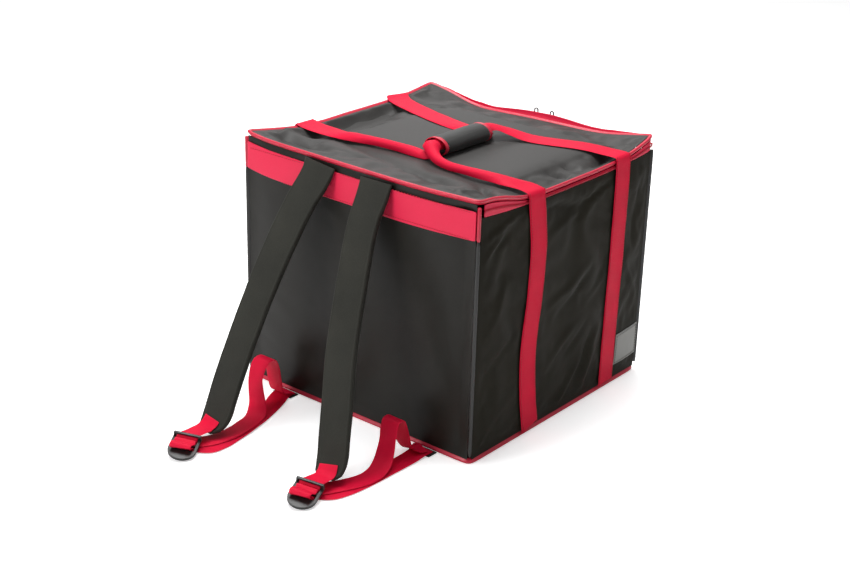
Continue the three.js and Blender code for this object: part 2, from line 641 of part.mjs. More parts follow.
add("zip_tape_lower", strip(zipFoot, (a, s) => zipMiddle(a, s) - halfGap, -TAPE / 2, TAPE / 2), WEBBING);
const coilFace = TAPE / 2 + GAP;
add(
  "zip_coil",
  strip(
    (a, s) => zipMiddle(a, s) - COIL_WIDTH / 2,
    (a, s) => zipMiddle(a, s) + COIL_WIDTH / 2,
    coilFace,
    coilFace + COIL_PROUD,
  ),
  WEBBING,
);

// Webbing swept along keys: its axis, the direction that its face looks, and how far it curls to a tube
function webbing(keys, width, thick, stepsAcross, stepsPerKey, lowest = 0) {
  const curve = new THREE.CatmullRomCurve3(keys.map((k) => k.at), false, "centripetal");
  const count = (keys.length - 1) * stepsPerKey;
  const rings = [];
  for (let i = 0; i <= count; i++) {
    const u = i / count;
    const k = Math.min(Math.floor(i / stepsPerKey), keys.length - 2);
    const part = i / stepsPerKey - k;
    const at = curve.getPoint(u);
    at.z = Math.max(at.z, lowest);
    const run = curve.getTangent(u);
    const face = keys[k].face.clone().lerp(keys[k + 1].face, part);
    const across = new THREE.Vector3().crossVectors(run, face).normalize();
    face.crossVectors(across, run).normalize();
    const curl = Math.PI * THREE.MathUtils.lerp(keys[k].curl ?? 0, keys[k + 1].curl ?? 0, part);
    const ring = [];
    const put = (share, depth) => {
      const angle = (share * curl) / 2;
      const flat = curl < 1e-3;
      const radius = flat ? 0 : width / curl;
      const sideways = flat ? (share * width) / 2 : radius * Math.sin(angle);
      const drop = flat ? 0 : radius * (Math.cos(angle) - 1);
      return at
        .clone()
        .addScaledVector(across, sideways + depth * Math.sin(angle))
        .addScaledVector(face, drop + depth * Math.cos(angle));
    };
    for (let j = 0; j <= stepsAcross; j++) ring.push(put((2 * j) / stepsAcross - 1, thick / 2));
    for (let j = stepsAcross; j >= 0; j--) ring.push(put((2 * j) / stepsAcross - 1, -thick / 2));
    rings.push(ring);
  }
  return loft(rings, false);
}

// How far the edges of curled webbing hang below its crown.
function curlDrop(curl, width) {
  const angle = Math.max(curl, 1e-3) * Math.PI;
  return (width / angle) * (1 - Math.cos(angle / 2));
}

// Highest part of the lid under webbing of a width, near a place.
function lidTop(x, y, width) {
  let top = 0;
  for (const dx of [-0.5, 0, 0.5]) {
    for (const dy of [-0.5, 0, 0.5]) {
      const s = clamp((x + dx * width) / SEAM_X, -1, 1);
      const t = clamp((y + dy * width) / SEAM_Y, -1, 1);
      top = Math.max(top, lidHeight(s, t));
    }
  }
  return top;
}

const gripX = GRIP.x * SEAM_X;
const gripY = GRIP.y * SEAM_Y;
const gripZ = lidTop(gripX, gripY, GRIP_RADIUS) + GAP + GRIP_RADIUS * GRIP_FLATTEN;
const gripLayer = HANDLE_THICK + CLEAR; // the second webbing lies inside the first
const gripRadius = (layer) => HANDLE_WEBBING / (Math.PI * GRIP_CURL) - layer * gripLayer;
const gripCurl = (layer) => HANDLE_WEBBING / (Math.PI * gripRadius(layer));
const gripCrown = (GRIP_RADIUS - GRIP_WALL) * GRIP_FLATTEN - HANDLE_THICK / 2 - CLEAR;

// The most that a value rises over the width of webbing whose axis lies at a share of a side's half length.
function overWidth(value, share, half, width) {
  const reach = width / 2 / half;
  return Math.max(...[-1, -0.5, 0, 0.5, 1].map((k) => value(share + k * reach)));
}

function handle(side) {
  const hand = PANELS[side].out[0];
  const away = new THREE.Vector3(hand, 0, 0);
  const layer = side === "right" ? 0 : 1;
  const half = PANELS[side].half;
  const keys = { near: [], far: [] };
  for (const run of ["near", "far"]) {
    const list = keys[run];
    for (let i = 0; i <= HANDLE_STEPS; i++) {
      const up = i / HANDLE_STEPS;
      const share = column(SIDE_RUN, run, "up", up);
      const z = THREE.MathUtils.lerp(HANDLE_FOOT, zipMiddle(side, share), up);
      const low = PIPE_RADIUS + BORDER;
      const t = clamp((2 * (z - low)) / (TUB_HEIGHT - low) - 1, -1, 1);
      const panel = overWidth((s) => swell(side, s, t), share, half, HANDLE_WEBBING);
      const out = Math.max(panel + GAP, coilFace + COIL_PROUD) + CLEAR + HANDLE_THICK / 2;
      list.push({ at: beside(side, share * half, z, out), face: away });
    }
    const edge = SIDE_RUN.at(-1)[run];
    const top = overWidth((s) => rim(side, s), edge, half, HANDLE_WEBBING);
    for (const degrees of [10, 50, 90]) {
      const angle = THREE.MathUtils.degToRad(degrees);
      const reach = PIPE_RADIUS + 1.5 * CLEAR + HANDLE_THICK / 2;
      const face = new THREE.Vector3(hand * Math.cos(angle), 0, Math.sin(angle));
      const over = top + reach * Math.sin(angle);
      list.push({ at: beside(side, edge * half, over, reach * Math.cos(angle)), face });
    }
    for (const row of LID_RUNS[side][run]) {
      const [x, y] = [hand * row.x * SEAM_X, row.y * SEAM_Y];
      const drop = curlDrop(row.curl, HANDLE_WEBBING);
      const lift = CLEAR + HANDLE_THICK / 2 + drop + row.lift * HANDLE_WEBBING;
      const z = lidTop(x, y, HANDLE_WEBBING) + lift;
      list.push({ at: new THREE.Vector3(x, y, z), face: UP, curl: row.curl });
    }
    const way = run === "near" ? -1 : 1;
    const z = gripZ + gripCrown - layer * gripLayer;
    for (const share of [1.1, 0.95, 0.7]) {
      const y = gripY + (way * share * GRIP_LENGTH) / 2;
      list.push({ at: new THREE.Vector3(gripX, y, z), face: UP, curl: gripCurl(layer) });
    }
  }
  return webbing([...keys.near, ...keys.far.reverse()], HANDLE_WEBBING, HANDLE_THICK, 4, 1);
}
add("carry_handle_right", handle("right"), WEBBING);
add("carry_handle_left", handle("left"), WEBBING);

// Grip: a flap of fabric closed round both webbings, bound at its ends
function sleeve(from, to, radius, wallThick) {
  const profile = [
    [radius, from],
    [radius, to],
    [radius - wallThick, to],
    [radius - wallThick, from],
    [radius, from],
  ].map(([r, y]) => new THREE.Vector2(r, y));
  const geometry = joined(new THREE.LatheGeometry(profile, 18));
  geometry.scale(1, 1, GRIP_FLATTEN);
  return geometry.translate(gripX, gripY, gripZ);
}
const gripEnd = GRIP_LENGTH / 2;
const wrapEnd = gripEnd - GRIP_BINDING;
add("grip_wrap", sleeve(-wrapEnd, wrapEnd, GRIP_RADIUS, GRIP_WALL), FABRIC);
add("grip_binding_near", sleeve(-gripEnd, -wrapEnd - GAP, GRIP_RADIUS, GRIP_WALL), WEBBING);
add("grip_binding_far", sleeve(wrapEnd + GAP, gripEnd, GRIP_RADIUS, GRIP_WALL), WEBBING);

// Band across the back, under the lid's piping
const bandOut = (s, t) => swell("back", s, t) + CLEAR;
function backShare(z) {
  const low = PIPE_RADIUS + BORDER;
  return clamp((2 * (z - low)) / (rim("back", 0) - BORDER - low) - 1, -1, 1);
}
add(
  "back_band",
  shell(12, 2, (s, t, depth) => {
    const x = s * (SEAM_X - BORDER);
    const z = bandTop(s) - (BAND_HEIGHT * (1 - t)) / 2;
    return beside("back", x, z, bandOut(x / SEAM_X, backShare(z)) + (1 - depth) * BAND_THICK);
  }),
  WEBBING,
);

// Shoulder straps: padded webbing with thin, narrow ends
const PAD_CROWN = 1.1;
const PAD_SECTION = [
  [-1, 0.4],
  [-0.86, 1],
  [0, PAD_CROWN],
  [0.86, 1],
  [1, 0.4],
  [1, -0.4],
  [0.86, -1],
  [0, -1.05],
  [-0.86, -1],
  [-1, -0.4],
];
const strapTop = (share) => rim("back", share) - BORDER - GAP - PIPE_RADIUS;
function strapKeys(side) {
  return STRAPS[side].map((row) => {
    const z = row.height * strapTop(row.side);
    const panel = bandOut(row.side, backShare(z)) + BAND_THICK + GAP;
    const out = panel + (row.thick * STRAP_THICK * PAD_CROWN) / 2 + row.reach * STRAP_REACH;
    return { ...row, at: beside("back", (row.side * WIDTH) / 2, z, out) };
  });
}
function strapFrame(keys, u) {
  const curve = new THREE.CatmullRomCurve3(keys.map((k) => k.at), false, "centripetal");
  const place = u * (keys.length - 1);
  const k = Math.min(Math.floor(place), keys.length - 2);
  const run = curve.getTangent(u);
  const across = new THREE.Vector3(1, 0, 0).addScaledVector(run, -run.x).normalize();
  const between = (name) => THREE.MathUtils.lerp(keys[k][name], keys[k + 1][name], place - k);
  return {
    at: curve.getPoint(u),
    across,
    face: new THREE.Vector3().crossVectors(run, across),
    wide: (STRAP_WIDTH / 2) * between("wide"),
    thick: (STRAP_THICK / 2) * between("thick"),
  };
}
function strap(side) {
  const keys = strapKeys(side);
  const rings = [];
  for (let i = 0; i <= STRAP_STEPS; i++) {
    const { at, across, face, wide, thick } = strapFrame(keys, i / STRAP_STEPS);
    rings.push(
      PAD_SECTION.map(([sideways, outwards]) =>
        at.clone().addScaledVector(across, sideways * wide).addScaledVector(face, outwards * thick),
      ),
    );
  }
  return loft(rings, false);
}

// Ladder lock: a moulded frame with two slots and a round thumb end
function lockShape() {
  const [wide, bar] = [BUCKLE_WIDTH / 2, BUCKLE_RAIL / 2];
  const end = BUCKLE_LENGTH - bar - wide;
  const shape = new THREE.Shape();
  shape.moveTo(-wide, -bar);
  shape.lineTo(wide, -bar);
  shape.lineTo(wide, end);
  shape.absarc(0, end, wide, 0, Math.PI, false);
  shape.closePath();
  for (const start of [bar, bar + BUCKLE_SLOT + BUCKLE_RAIL]) {
    const hole = new THREE.Path();
    hole.moveTo(-wide + BUCKLE_RAIL, start);
    hole.lineTo(-wide + BUCKLE_RAIL, start + BUCKLE_SLOT);
    hole.lineTo(wide - BUCKLE_RAIL, start + BUCKLE_SLOT);
    hole.lineTo(wide - BUCKLE_RAIL, start);
    hole.closePath();
    shape.holes.push(hole);
  }
  return shape;
}

// Joins a three.js solid's faces at their shared corners.
function joined(geometry) {
  geometry.deleteAttribute("normal");
  geometry.deleteAttribute("uv");
  return outward(mergeVertices(geometry, 1e-3));
}

function extruded(shape, depth, curveSegments) {
  return joined(new THREE.ExtrudeGeometry(shape, { depth, bevelEnabled: false, curveSegments }));
}

// Places a lock's own frame: +Y along it from its first bar to its thumb end, +Z up.
function lockFrame(side) {
  const { side: x, reach, turn, roll } = LOCKS[side];
  const angle = THREE.MathUtils.degToRad(turn);
  const frame = new THREE.Matrix4().makeRotationZ(Math.PI + angle);
  frame.multiply(new THREE.Matrix4().makeRotationX(-THREE.MathUtils.degToRad(BUCKLE_LEAN)));
  frame.multiply(new THREE.Matrix4().makeRotationY(-THREE.MathUtils.degToRad(roll)));
  frame.setPosition((x * WIDTH) / 2, -DEPTH / 2 - reach * STRAP_REACH, BUCKLE_RISE);
  return frame;
}

const bottomRun = GAP + STRAP_WEBBING_THICK / 2; // webbing lying on the floor
const secondRun = bottomRun + STRAP_WEBBING_THICK + GAP; // webbing lying on that
function floorKey(row) {
  const at = new THREE.Vector3((row.side * WIDTH) / 2, -DEPTH / 2 - row.reach * STRAP_REACH, 0);
  at.z = Math.max(row.lift * LOOP_HEIGHT, bottomRun);
  return { at, face: row.face ? new THREE.Vector3(...row.face) : UP };
}

// Round the lock: under its frame, up through the outer slot, slack out over the thumb end and back over the
// middle bar, down through the inner slot and back under the first bar. along and up are from the first
// bar's middle, as shares of half the distance between bars. Rows with a floor lie on it, and slack is the
// share of the lock's slip.
const LACING = [
  { along: 0.2, floor: bottomRun, face: [0, 0, 1] },
  { along: 1.7, floor: bottomRun, face: [0, 0, 1] },
  { along: 2.6, floor: secondRun, face: [0, -0.7, 0.7] },
  { along: 3.0, up: -0.25, face: [0, -1, 0.2] },
  { along: 3.2, up: 0.5, slack: 0.1, face: [0, -0.8, 0.6] },
  { along: 4.0, up: 0.95, slack: 0.5, face: [0, -0.45, 0.9] },
  { along: 4.6, up: 1.3, slack: 1, face: [0, -1, 0] },
  { along: 4.0, up: 1.75, slack: 0.9, face: [0, -0.05, -1] },
  { along: 3.1, up: 1.35, slack: 0.4, face: [0, 0.3, -0.95] },
  { along: 2.3, up: 0.7, face: [0, 0.1, -1] },
  { along: 1.6, up: 0.92, face: [0, 0, -1] },
  { along: 1.05, up: 0.4, face: [0, 0.8, -0.6] },
  { along: 0.9, up: -0.3, face: [0, 1, 0] },
  { along: 0.55, floor: secondRun, face: [0, 0.3, -1] },
  { along: -0.6, floor: secondRun, face: [0, 0, -1] },
];

function adjuster(side) {
  const frame = lockFrame(side);
  const { turn, roll, slip } = LOCKS[side];
  const level = new THREE.Matrix4().makeRotationZ(Math.PI + THREE.MathUtils.degToRad(turn));
  const rolled = level.clone().multiply(new THREE.Matrix4().makeRotationY(-THREE.MathUtils.degToRad(roll)));
  const step = (BUCKLE_SLOT + BUCKLE_RAIL) / 2;
  const lacing = LACING.map((row) => {
    const across = (row.slack ?? 0) * slip * STRAP_WEBBING;
    const at = new THREE.Vector3(across, row.along * step, (row.up ?? 0) * step).applyMatrix4(frame);
    at.z = row.floor ?? at.z;
    return { at, face: new THREE.Vector3(...row.face).transformDirection(row.floor ? level : rolled) };
  });
  const keys = [...RUNS[side].out.map(floorKey), ...lacing, ...RUNS[side].back.map(floorKey)];
  return webbing(keys, STRAP_WEBBING, STRAP_WEBBING_THICK, 2, 2, bottomRun);
}

// Short webbing sewn on the strap's end, round the lock's first bar
function sewnWebbing(side) {
  const frame = lockFrame(side);
  const keys = strapKeys(side);
  const around = Math.hypot(BUCKLE_THICK, BUCKLE_RAIL) / 2 + CLEAR + STRAP_WEBBING_THICK / 2;
  const list = [0, 0.35, 0.7, 1].map((part) => {
    const { at, face, thick } = strapFrame(keys, THREE.MathUtils.lerp(SEWN_FROM, 1, part));
    return { at: at.addScaledVector(face, PAD_CROWN * thick + CLEAR + STRAP_WEBBING_THICK / 2), face };
  });
  for (const degrees of [120, 75, 20, -35, -90]) {
    const angle = THREE.MathUtils.degToRad(degrees);
    const face = new THREE.Vector3(0, Math.cos(angle), Math.sin(angle));
    const at = face.clone().multiplyScalar(around).applyMatrix4(frame);
    list.push({ at, face: face.transformDirection(frame) });
  }
  const tuck = new THREE.Vector3(0, -2 * around, -around).applyMatrix4(frame);
  list.push({ at: tuck, face: new THREE.Vector3(0, 0, -1) });
  return webbing(list, STRAP_WEBBING, STRAP_WEBBING_THICK, 2, 2);
}

for (const side of ["right", "left"]) {
  add("shoulder_strap_" + side, strap(side), STRAP_CLOTH);
  const lock = add("ladder_lock_" + side, extruded(lockShape(), BUCKLE_THICK, 8), PLASTIC);
  lock.geometry.translate(0, 0, -BUCKLE_THICK / 2);
  lock.applyMatrix4(lockFrame(side));
  add("strap_webbing_" + side, adjuster(side), WEBBING);
  add("lock_webbing_" + side, sewnWebbing(side), WEBBING);
  const tab = joined(new THREE.BoxGeometry(ANCHOR_WIDTH, ANCHOR_LENGTH, STRAP_WEBBING_THICK));
  const x = (RUNS[side].out[0].side * WIDTH) / 2;
  tab.translate(x, -DEPTH / 2 - GAP - ANCHOR_LENGTH / 2, STRAP_WEBBING_THICK / 2);
  add("anchor_tab_" + side, tab, STRAP_CLOTH);
}

// Reflective tape on the right side, from the front corner's seam to the handle
add(
  "reflective_patch",
  shell(4, 3, (s, t, depth) => {
    const y = SEAM_Y - BORDER - GAP - (PATCH_WIDTH * (1 - s)) / 2;
    const z = PATCH_RISE + (PATCH_HEIGHT * (1 + t)) / 2;
    const low = PIPE_RADIUS + BORDER;
    const up = (2 * (z - low)) / (TUB_HEIGHT - low) - 1;
    const out = swell("right", y / (SEAM_Y - BORDER), up) + CLEAR + (1 - depth) * PATCH_THICK;
    return beside("right", y, z, out);
  }),
  SILVER,
);

// Zip sliders and their pulls, which stand up over the lid's piping
const SLIDERS = [
  { name: "left", share: -0.025 },
  { name: "right", share: 0.115 },
];
const sliderOut = coilFace + COIL_PROUD + GAP;
for (const { name, share } of SLIDERS) {
  const body = new THREE.Shape();
  const [long, high] = [SLIDER_LENGTH / 2, SLIDER_HEIGHT / 2];
  body.moveTo(-long, -high * 0.6);
  body.lineTo(long * 0.5, -high);
  body.lineTo(long, -high * 0.4);
  body.lineTo(long, high * 0.4);
  body.lineTo(long * 0.5, high);
  body.lineTo(-long, high * 0.6);
  body.closePath();
  const slider = add("zip_slider_" + name, extruded(body, SLIDER_DEPTH, 1), STEEL);
  const place = beside("front", share * SEAM_X, zipMiddle("front", share), sliderOut);
  slider.rotation.x = -Math.PI / 2;
  slider.position.copy(place);
  const ring = new THREE.Shape();
  const pull = PULL_WIDTH / 2;
  ring.moveTo(-pull, 0);
  ring.lineTo(pull, 0);
  ring.lineTo(pull, PULL_LENGTH - pull);
  ring.absarc(0, PULL_LENGTH - pull, pull, 0, Math.PI, false);
  ring.closePath();
  const eye = new THREE.Path();
  const inner = pull - PULL_RIM;
  eye.moveTo(-inner, PULL_RIM);
  eye.lineTo(-inner, PULL_LENGTH - pull);
  eye.absarc(0, PULL_LENGTH - pull, inner, Math.PI, 0, true);
  eye.lineTo(inner, PULL_RIM);
  eye.closePath();
  ring.holes.push(eye);
  const tab = add("zip_pull_" + name, extruded(ring, PULL_THICK, 5), STEEL);
  tab.rotation.x = Math.PI / 2;
  tab.position.copy(place).add(new THREE.Vector3(0, SLIDER_DEPTH + GAP + PULL_THICK, -high));
}

export default group;
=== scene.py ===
import math

import bmesh
import bpy
import numpy as np
from mathutils import Matrix, Vector, noise


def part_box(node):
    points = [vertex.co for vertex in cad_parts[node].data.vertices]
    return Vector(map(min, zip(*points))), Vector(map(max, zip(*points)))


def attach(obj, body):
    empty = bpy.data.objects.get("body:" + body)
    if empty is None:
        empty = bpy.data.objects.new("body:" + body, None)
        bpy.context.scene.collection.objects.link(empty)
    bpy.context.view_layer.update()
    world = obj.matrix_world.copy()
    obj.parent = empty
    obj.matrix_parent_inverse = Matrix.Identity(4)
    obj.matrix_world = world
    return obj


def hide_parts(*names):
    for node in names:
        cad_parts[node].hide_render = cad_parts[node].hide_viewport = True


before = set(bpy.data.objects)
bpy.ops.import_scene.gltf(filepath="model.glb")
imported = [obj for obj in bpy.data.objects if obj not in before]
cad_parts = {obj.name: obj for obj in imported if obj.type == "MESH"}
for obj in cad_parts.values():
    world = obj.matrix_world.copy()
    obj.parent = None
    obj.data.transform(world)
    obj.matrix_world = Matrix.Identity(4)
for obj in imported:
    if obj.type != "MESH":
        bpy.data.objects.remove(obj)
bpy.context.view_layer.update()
scene = bpy.context.scene

# Camera: a moderate portrait lens a little over two metres away, above the corner between
# the back panel and the right side panel. Directions are worked out from its turn and tilt.
IMAGE_WIDTH = 850
SENSOR_WIDTH = 36
FOCAL_PIXELS = 1471.3
AZIMUTH, ELEVATION, ROLL = (math.radians(a) for a in (39.011, 22.216, 1.58))
CAMERA_PLACE = Vector((1.2808, -1.6355, 0.9948))
backwards = Vector(
    (math.sin(AZIMUTH) * math.cos(ELEVATION), -math.cos(AZIMUTH) * math.cos(ELEVATION), math.sin(ELEVATION))
)
level = Vector((math.cos(AZIMUTH), math.sin(AZIMUTH), 0))
upright = backwards.cross(level)
camera_right = level * math.cos(ROLL) + upright * math.sin(ROLL)
camera_up = upright * math.cos(ROLL) - level * math.sin(ROLL)
turn = Matrix((camera_right, camera_up, backwards)).transposed()
bpy.ops.object.camera_add()
camera = bpy.context.active_object
camera.name = "camera"
camera.matrix_world = Matrix.Translation(CAMERA_PLACE) @ turn.to_4x4()
camera.data.sensor_width = SENSOR_WIDTH
camera.data.lens = FOCAL_PIXELS / IMAGE_WIDTH * SENSOR_WIDTH
scene.camera = camera
scene.view_settings.view_transform = "Standard"

# Studio: a white sweep of floor under a wide soft light from above, with three weaker ones
# behind and beside it, as for a product picture on white.
FLOOR_SIZE = 60
FLOOR_DROP = 0.0004
FLOOR_GLOW = 0.45
WORLD_LIGHT = 0.34
bpy.ops.object.select_all(action="DESELECT")
bpy.ops.mesh.primitive_plane_add(size=FLOOR_SIZE, location=(0, 0, -FLOOR_DROP))
floor = bpy.context.active_object
floor.name = "studio_floor"
bpy.ops.object.transform_apply(location=True)


def plain_material(name):
    """A new material with its node tree and its shader."""
    material = bpy.data.materials.new(name)
    material.use_nodes = True
    return material, material.node_tree, material.node_tree.nodes["Principled BSDF"]


def fill(node, values):
    """Fills a node's inputs: a socket is linked to the input, and anything else becomes its value."""
    for key, value in values.items():
        if isinstance(value, bpy.types.NodeSocket):
            node.id_data.links.new(value, node.inputs[key])
        else:
            node.inputs[key].default_value = value


def add(tree, kind, values, **settings):
    """A new node of a kind in a tree, with its settings made and its inputs filled."""
    node = tree.nodes.new(kind)
    for name, value in settings.items():
        setattr(node, name, value)
    fill(node, values)
    return node


def maths(tree, operation, *values, **settings):
    """The result of a sum on values and sockets."""
    return add(tree, "ShaderNodeMath", dict(enumerate(values)), operation=operation, **settings).outputs[0]


# The floor glows a little to the eye, as a lit white table does, so only the contact shadow shows.
floor_paint, tree, shader = plain_material("floor_paint")
grain = add(tree, "ShaderNodeTexNoise", {"Scale": 3.0})
bump = add(tree, "ShaderNodeBump", {"Strength": 0.02, "Height": grain.outputs["Fac"]})
seen = tree.nodes.new("ShaderNodeLightPath")
glow = maths(tree, "MULTIPLY", seen.outputs["Is Camera Ray"], FLOOR_GLOW)
fill(shader, {"Base Color": (0.93, 0.93, 0.935, 1), "Roughness": 0.6, "Normal": bump.outputs["Normal"]})
fill(shader, {"Emission Strength": glow, "Emission Color": (1, 1, 1, 1)})
floor.data.materials.append(floor_paint)

scene.world = bpy.data.worlds.new("studio")
scene.world.use_nodes = True
fill(scene.world.node_tree.nodes["Background"], {"Color": (1, 1, 1, 1), "Strength": WORLD_LIGHT})
# name, place, aim, size, watts
SOFTBOXES = [
    ("overhead_box", (-0.5, 0.3, 2.6), (0, 0, 0.2), 2.0, 85),
    ("rear_box", (-1.7, 2.1, 1.35), (0, 0, 0.35), 1.1, 5),
    ("back_side_box", (-0.9, -2.6, 1.5), (0, 0, 0.2), 1.2, 42),
    ("right_side_box", (1.9, 1.0, 2.3), (0.2, 0, 0.2), 0.6, 8),
]
for name, place, aim, size, watts in SOFTBOXES:
    bpy.ops.object.light_add(type="AREA", location=place)
    box_light = bpy.context.active_object
    box_light.name = name
    box_light.data.shape = "DISK"
    box_light.data.size = size
    box_light.data.energy = watts
    box_light.rotation_euler = (Vector(aim) - Vector(place)).to_track_quat("-Z", "Y").to_euler()

# Upright panels: coated polyester over foam, cut flat and sewn to the piping round their
# edges. The cloth is a little larger than the foam, so it creases between the seams.
# Creases as from, to (along, up), width and height, in metres
RIGHT_CREASES = [
    ((-0.2, 0.325), (-0.118, 0.345), 0.0045, 0.003),
    ((-0.205, 0.29), (-0.165, 0.325), 0.005, 0.0026),
    ((-0.19, 0.302), (-0.13, 0.328), 0.006, -0.003),
    ((-0.055, 0.335), (0.03, 0.322), 0.006, -0.003),
    ((0.02, 0.318), (0.1, 0.342), 0.0055, -0.0034),
    ((-0.045, 0.297), (0.02, 0.312), 0.005, 0.0016),
    ((0.065, 0.235), (-0.04, 0.185), 0.006, 0.0026),
    ((0.055, 0.215), (-0.02, 0.165), 0.005, -0.0024),
    ((0.095, 0.19), (0.03, 0.16), 0.004, 0.0016),
    ((0.04, 0.15), (-0.045, 0.09), 0.006, 0.0028),
    ((0.06, 0.145), (0.0, 0.088), 0.005, -0.0026),
    ((0.085, 0.12), (0.052, 0.03), 0.005, 0.0034),
    ((0.07, 0.115), (0.035, 0.04), 0.006, -0.003),
    ((0.045, 0.075), (-0.01, 0.02), 0.005, 0.0026),
    ((-0.15, 0.25), (-0.185, 0.19), 0.006, 0.0018),
    ((-0.13, 0.17), (-0.19, 0.12), 0.006, -0.0016),
    ((-0.12, 0.08), (-0.18, 0.05), 0.006, 0.0016),
    ((0.18, 0.32), (0.165, 0.22), 0.006, -0.002),
    ((0.15, 0.2), (0.19, 0.14), 0.006, 0.0016),
]
LEFT_CREASES = [
    ((-0.15, 0.3), (-0.02, 0.26), 0.006, -0.003),
    ((0.0, 0.22), (0.08, 0.14), 0.006, 0.0026),
    ((-0.05, 0.1), (0.05, 0.05), 0.006, -0.0026),
    ((0.15, 0.3), (0.18, 0.2), 0.006, 0.0022),
    ((-0.18, 0.2), (-0.13, 0.12), 0.006, 0.002),
]
FRONT_CREASES = [
    ((-0.15, 0.32), (0.02, 0.3), 0.007, -0.0034),
    ((0.15, 0.3), (0.06, 0.2), 0.006, 0.003),
    ((-0.1, 0.15), (-0.03, 0.05), 0.006, -0.0028),
    ((0.18, 0.12), (0.1, 0.06), 0.006, 0.0026),
    ((-0.18, 0.22), (-0.11, 0.26), 0.006, 0.0024),
]
# For each panel, its direction out of the bag, the direction along it, the seed of its rumples, its creases
# and the height of its rumples. Slack is how much larger the cloth is than the foam, its stiffness, and
# its tallest crease. The back panel's cloth is stretched over stiff foam.
PANELS = {
    "side_panel_right": {
        "out": (1, 0, 0), "along": (0, 1, 0), "seed": 3.1, "creases": RIGHT_CREASES, "rumple": 0.0020,
        "slack": (0.006, 2.0, 0.005),
    },
    "side_panel_left": {
        "out": (-1, 0, 0), "along": (0, 1, 0), "seed": 17.7, "creases": LEFT_CREASES, "rumple": 0.0020,
        "slack": (0.006, 2.0, 0.005),
    },
    "panel_front": {
        "out": (0, 1, 0), "along": (1, 0, 0), "seed": 29.3, "creases": FRONT_CREASES, "rumple": 0.0020,
        "slack": (0.01, 0.8, 0.005),
    },
    "panel_back": {"out": (0, -1, 0), "along": (1, 0, 0), "seed": 41.9, "creases": [], "rumple": 0.0005},
}
# The back panel stands in broad upright waves, and turns away towards its right edge.
BACK_WAVE = 0.0016
BACK_WAVE_LENGTH = 0.16
BACK_TURN_FROM, BACK_TURN_WIDTH, BACK_TURN = 0.115, 0.095, 0.008
PANEL_BORDER = 0.018
TOP_SEAM = 0.006


def only(piece):
    """Selects one piece and makes it active."""
    bpy.ops.object.select_all(action="DESELECT")
    piece.select_set(True)
    bpy.context.view_layer.objects.active = piece


def fine_copy(node, levels, sharp_degrees=40):
    """A new piece from a CAD solid: triangles joined to quads, subdivided with its sharp edges kept."""
    piece = bpy.data.objects.new(node + "_sewn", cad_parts[node].data.copy())
    scene.collection.objects.link(piece)
    piece.data.materials.clear()
    only(piece)
    bpy.ops.object.mode_set(mode="EDIT")
    bpy.ops.mesh.select_mode(type="VERT")
    bpy.ops.mesh.select_all(action="SELECT")
    bpy.ops.mesh.remove_doubles(threshold=1e-5)
    bpy.ops.mesh.tris_convert_to_quads(face_threshold=math.radians(40), shape_threshold=math.radians(60))
    bpy.ops.mesh.select_all(action="DESELECT")
    bpy.ops.mesh.select_mode(type="EDGE")
    bpy.ops.mesh.edges_select_sharp(sharpness=math.radians(sharp_degrees))
    bpy.ops.transform.edge_crease(value=0.9)
    bpy.ops.object.mode_set(mode="OBJECT")
    if levels:
        bpy.ops.object.modifier_add(type="SUBSURF")
        smoothing = piece.modifiers[-1]
        smoothing.levels = smoothing.render_levels = levels
        bpy.ops.object.modifier_apply(modifier=smoothing.name)
    bpy.ops.object.shade_smooth_by_angle(angle=math.radians(50))
    return piece


def points_of(piece):
    """The piece's vertices and their normals as arrays."""
    count = len(piece.data.vertices)
    places = np.empty(count * 3)
    normals = np.empty(count * 3)
    piece.data.vertices.foreach_get("co", places)
    piece.data.vertices.foreach_get("normal", normals)
    return places.reshape(-1, 3), normals.reshape(-1, 3)


def put_points(piece, places):
    """Moves the piece's vertices to the places."""
    piece.data.vertices.foreach_set("co", places.ravel())
    piece.data.update()


# Noise vectors start from the clock unless they are given a seed, and the creases would differ in each run.
NOISE_SEED = 1
noise.seed_set(NOISE_SEED)


def rumple(places, size, seed):
    """Soft creases of cloth over foam, from -1 to 1: noise pulled out along wandering lines."""
    heights = np.empty(len(places))
    for i, (x, y, z) in enumerate(places):
        spot = Vector((x / size + seed, y / size, z / size))
        bent = spot + noise.noise_vector(spot * 0.6) * 0.9
        heights[i] = noise.noise(bent) + 0.5 * (0.55 - 2 * abs(noise.noise(bent * 1.7)))
    return heights


def crease_lines(along, up, lines, seed):
    """Height of the creases at each place of a panel, with wandering lines and sharp tops."""
    wander_a = np.array([noise.noise(Vector((a * 22 + seed, u * 22, 0))) for a, u in zip(along, up)]) * 0.006
    wander_u = np.array([noise.noise(Vector((a * 22, u * 22, seed + 9))) for a, u in zip(along, up)]) * 0.006
    total = np.zeros(len(along))
    at = np.stack([along + wander_a, up + wander_u], 1)
    for start, end, width, height in lines:
        start, end = np.array(start), np.array(end)
        line = end - start
        share = np.clip((at - start) @ line / (line @ line), 0, 1)
        away = np.linalg.norm(at - start - share[:, None] * line, axis=1)
        taper = np.sin(np.pi * np.clip(share, 0.06, 0.94)) ** 0.5
        total += height * taper * np.exp(-((away / width) ** 1.35))
    return total


def empty_group(name, inputs, outputs):
    """A new node group with the sockets named, its start's outputs and its end."""
    group = bpy.data.node_groups.new(name, "ShaderNodeTree")
    group.interface.new_socket("Place", in_out="INPUT", socket_type="NodeSocketVector")
    for label, value in inputs.items():
        socket = group.interface.new_socket(label, in_out="INPUT", socket_type="NodeSocketFloat")
        socket.default_value = value
    for label in outputs:
        group.interface.new_socket(label, in_out="OUTPUT", socket_type="NodeSocketFloat")
    return group, group.nodes.new("NodeGroupInput").outputs, group.nodes.new("NodeGroupOutput")


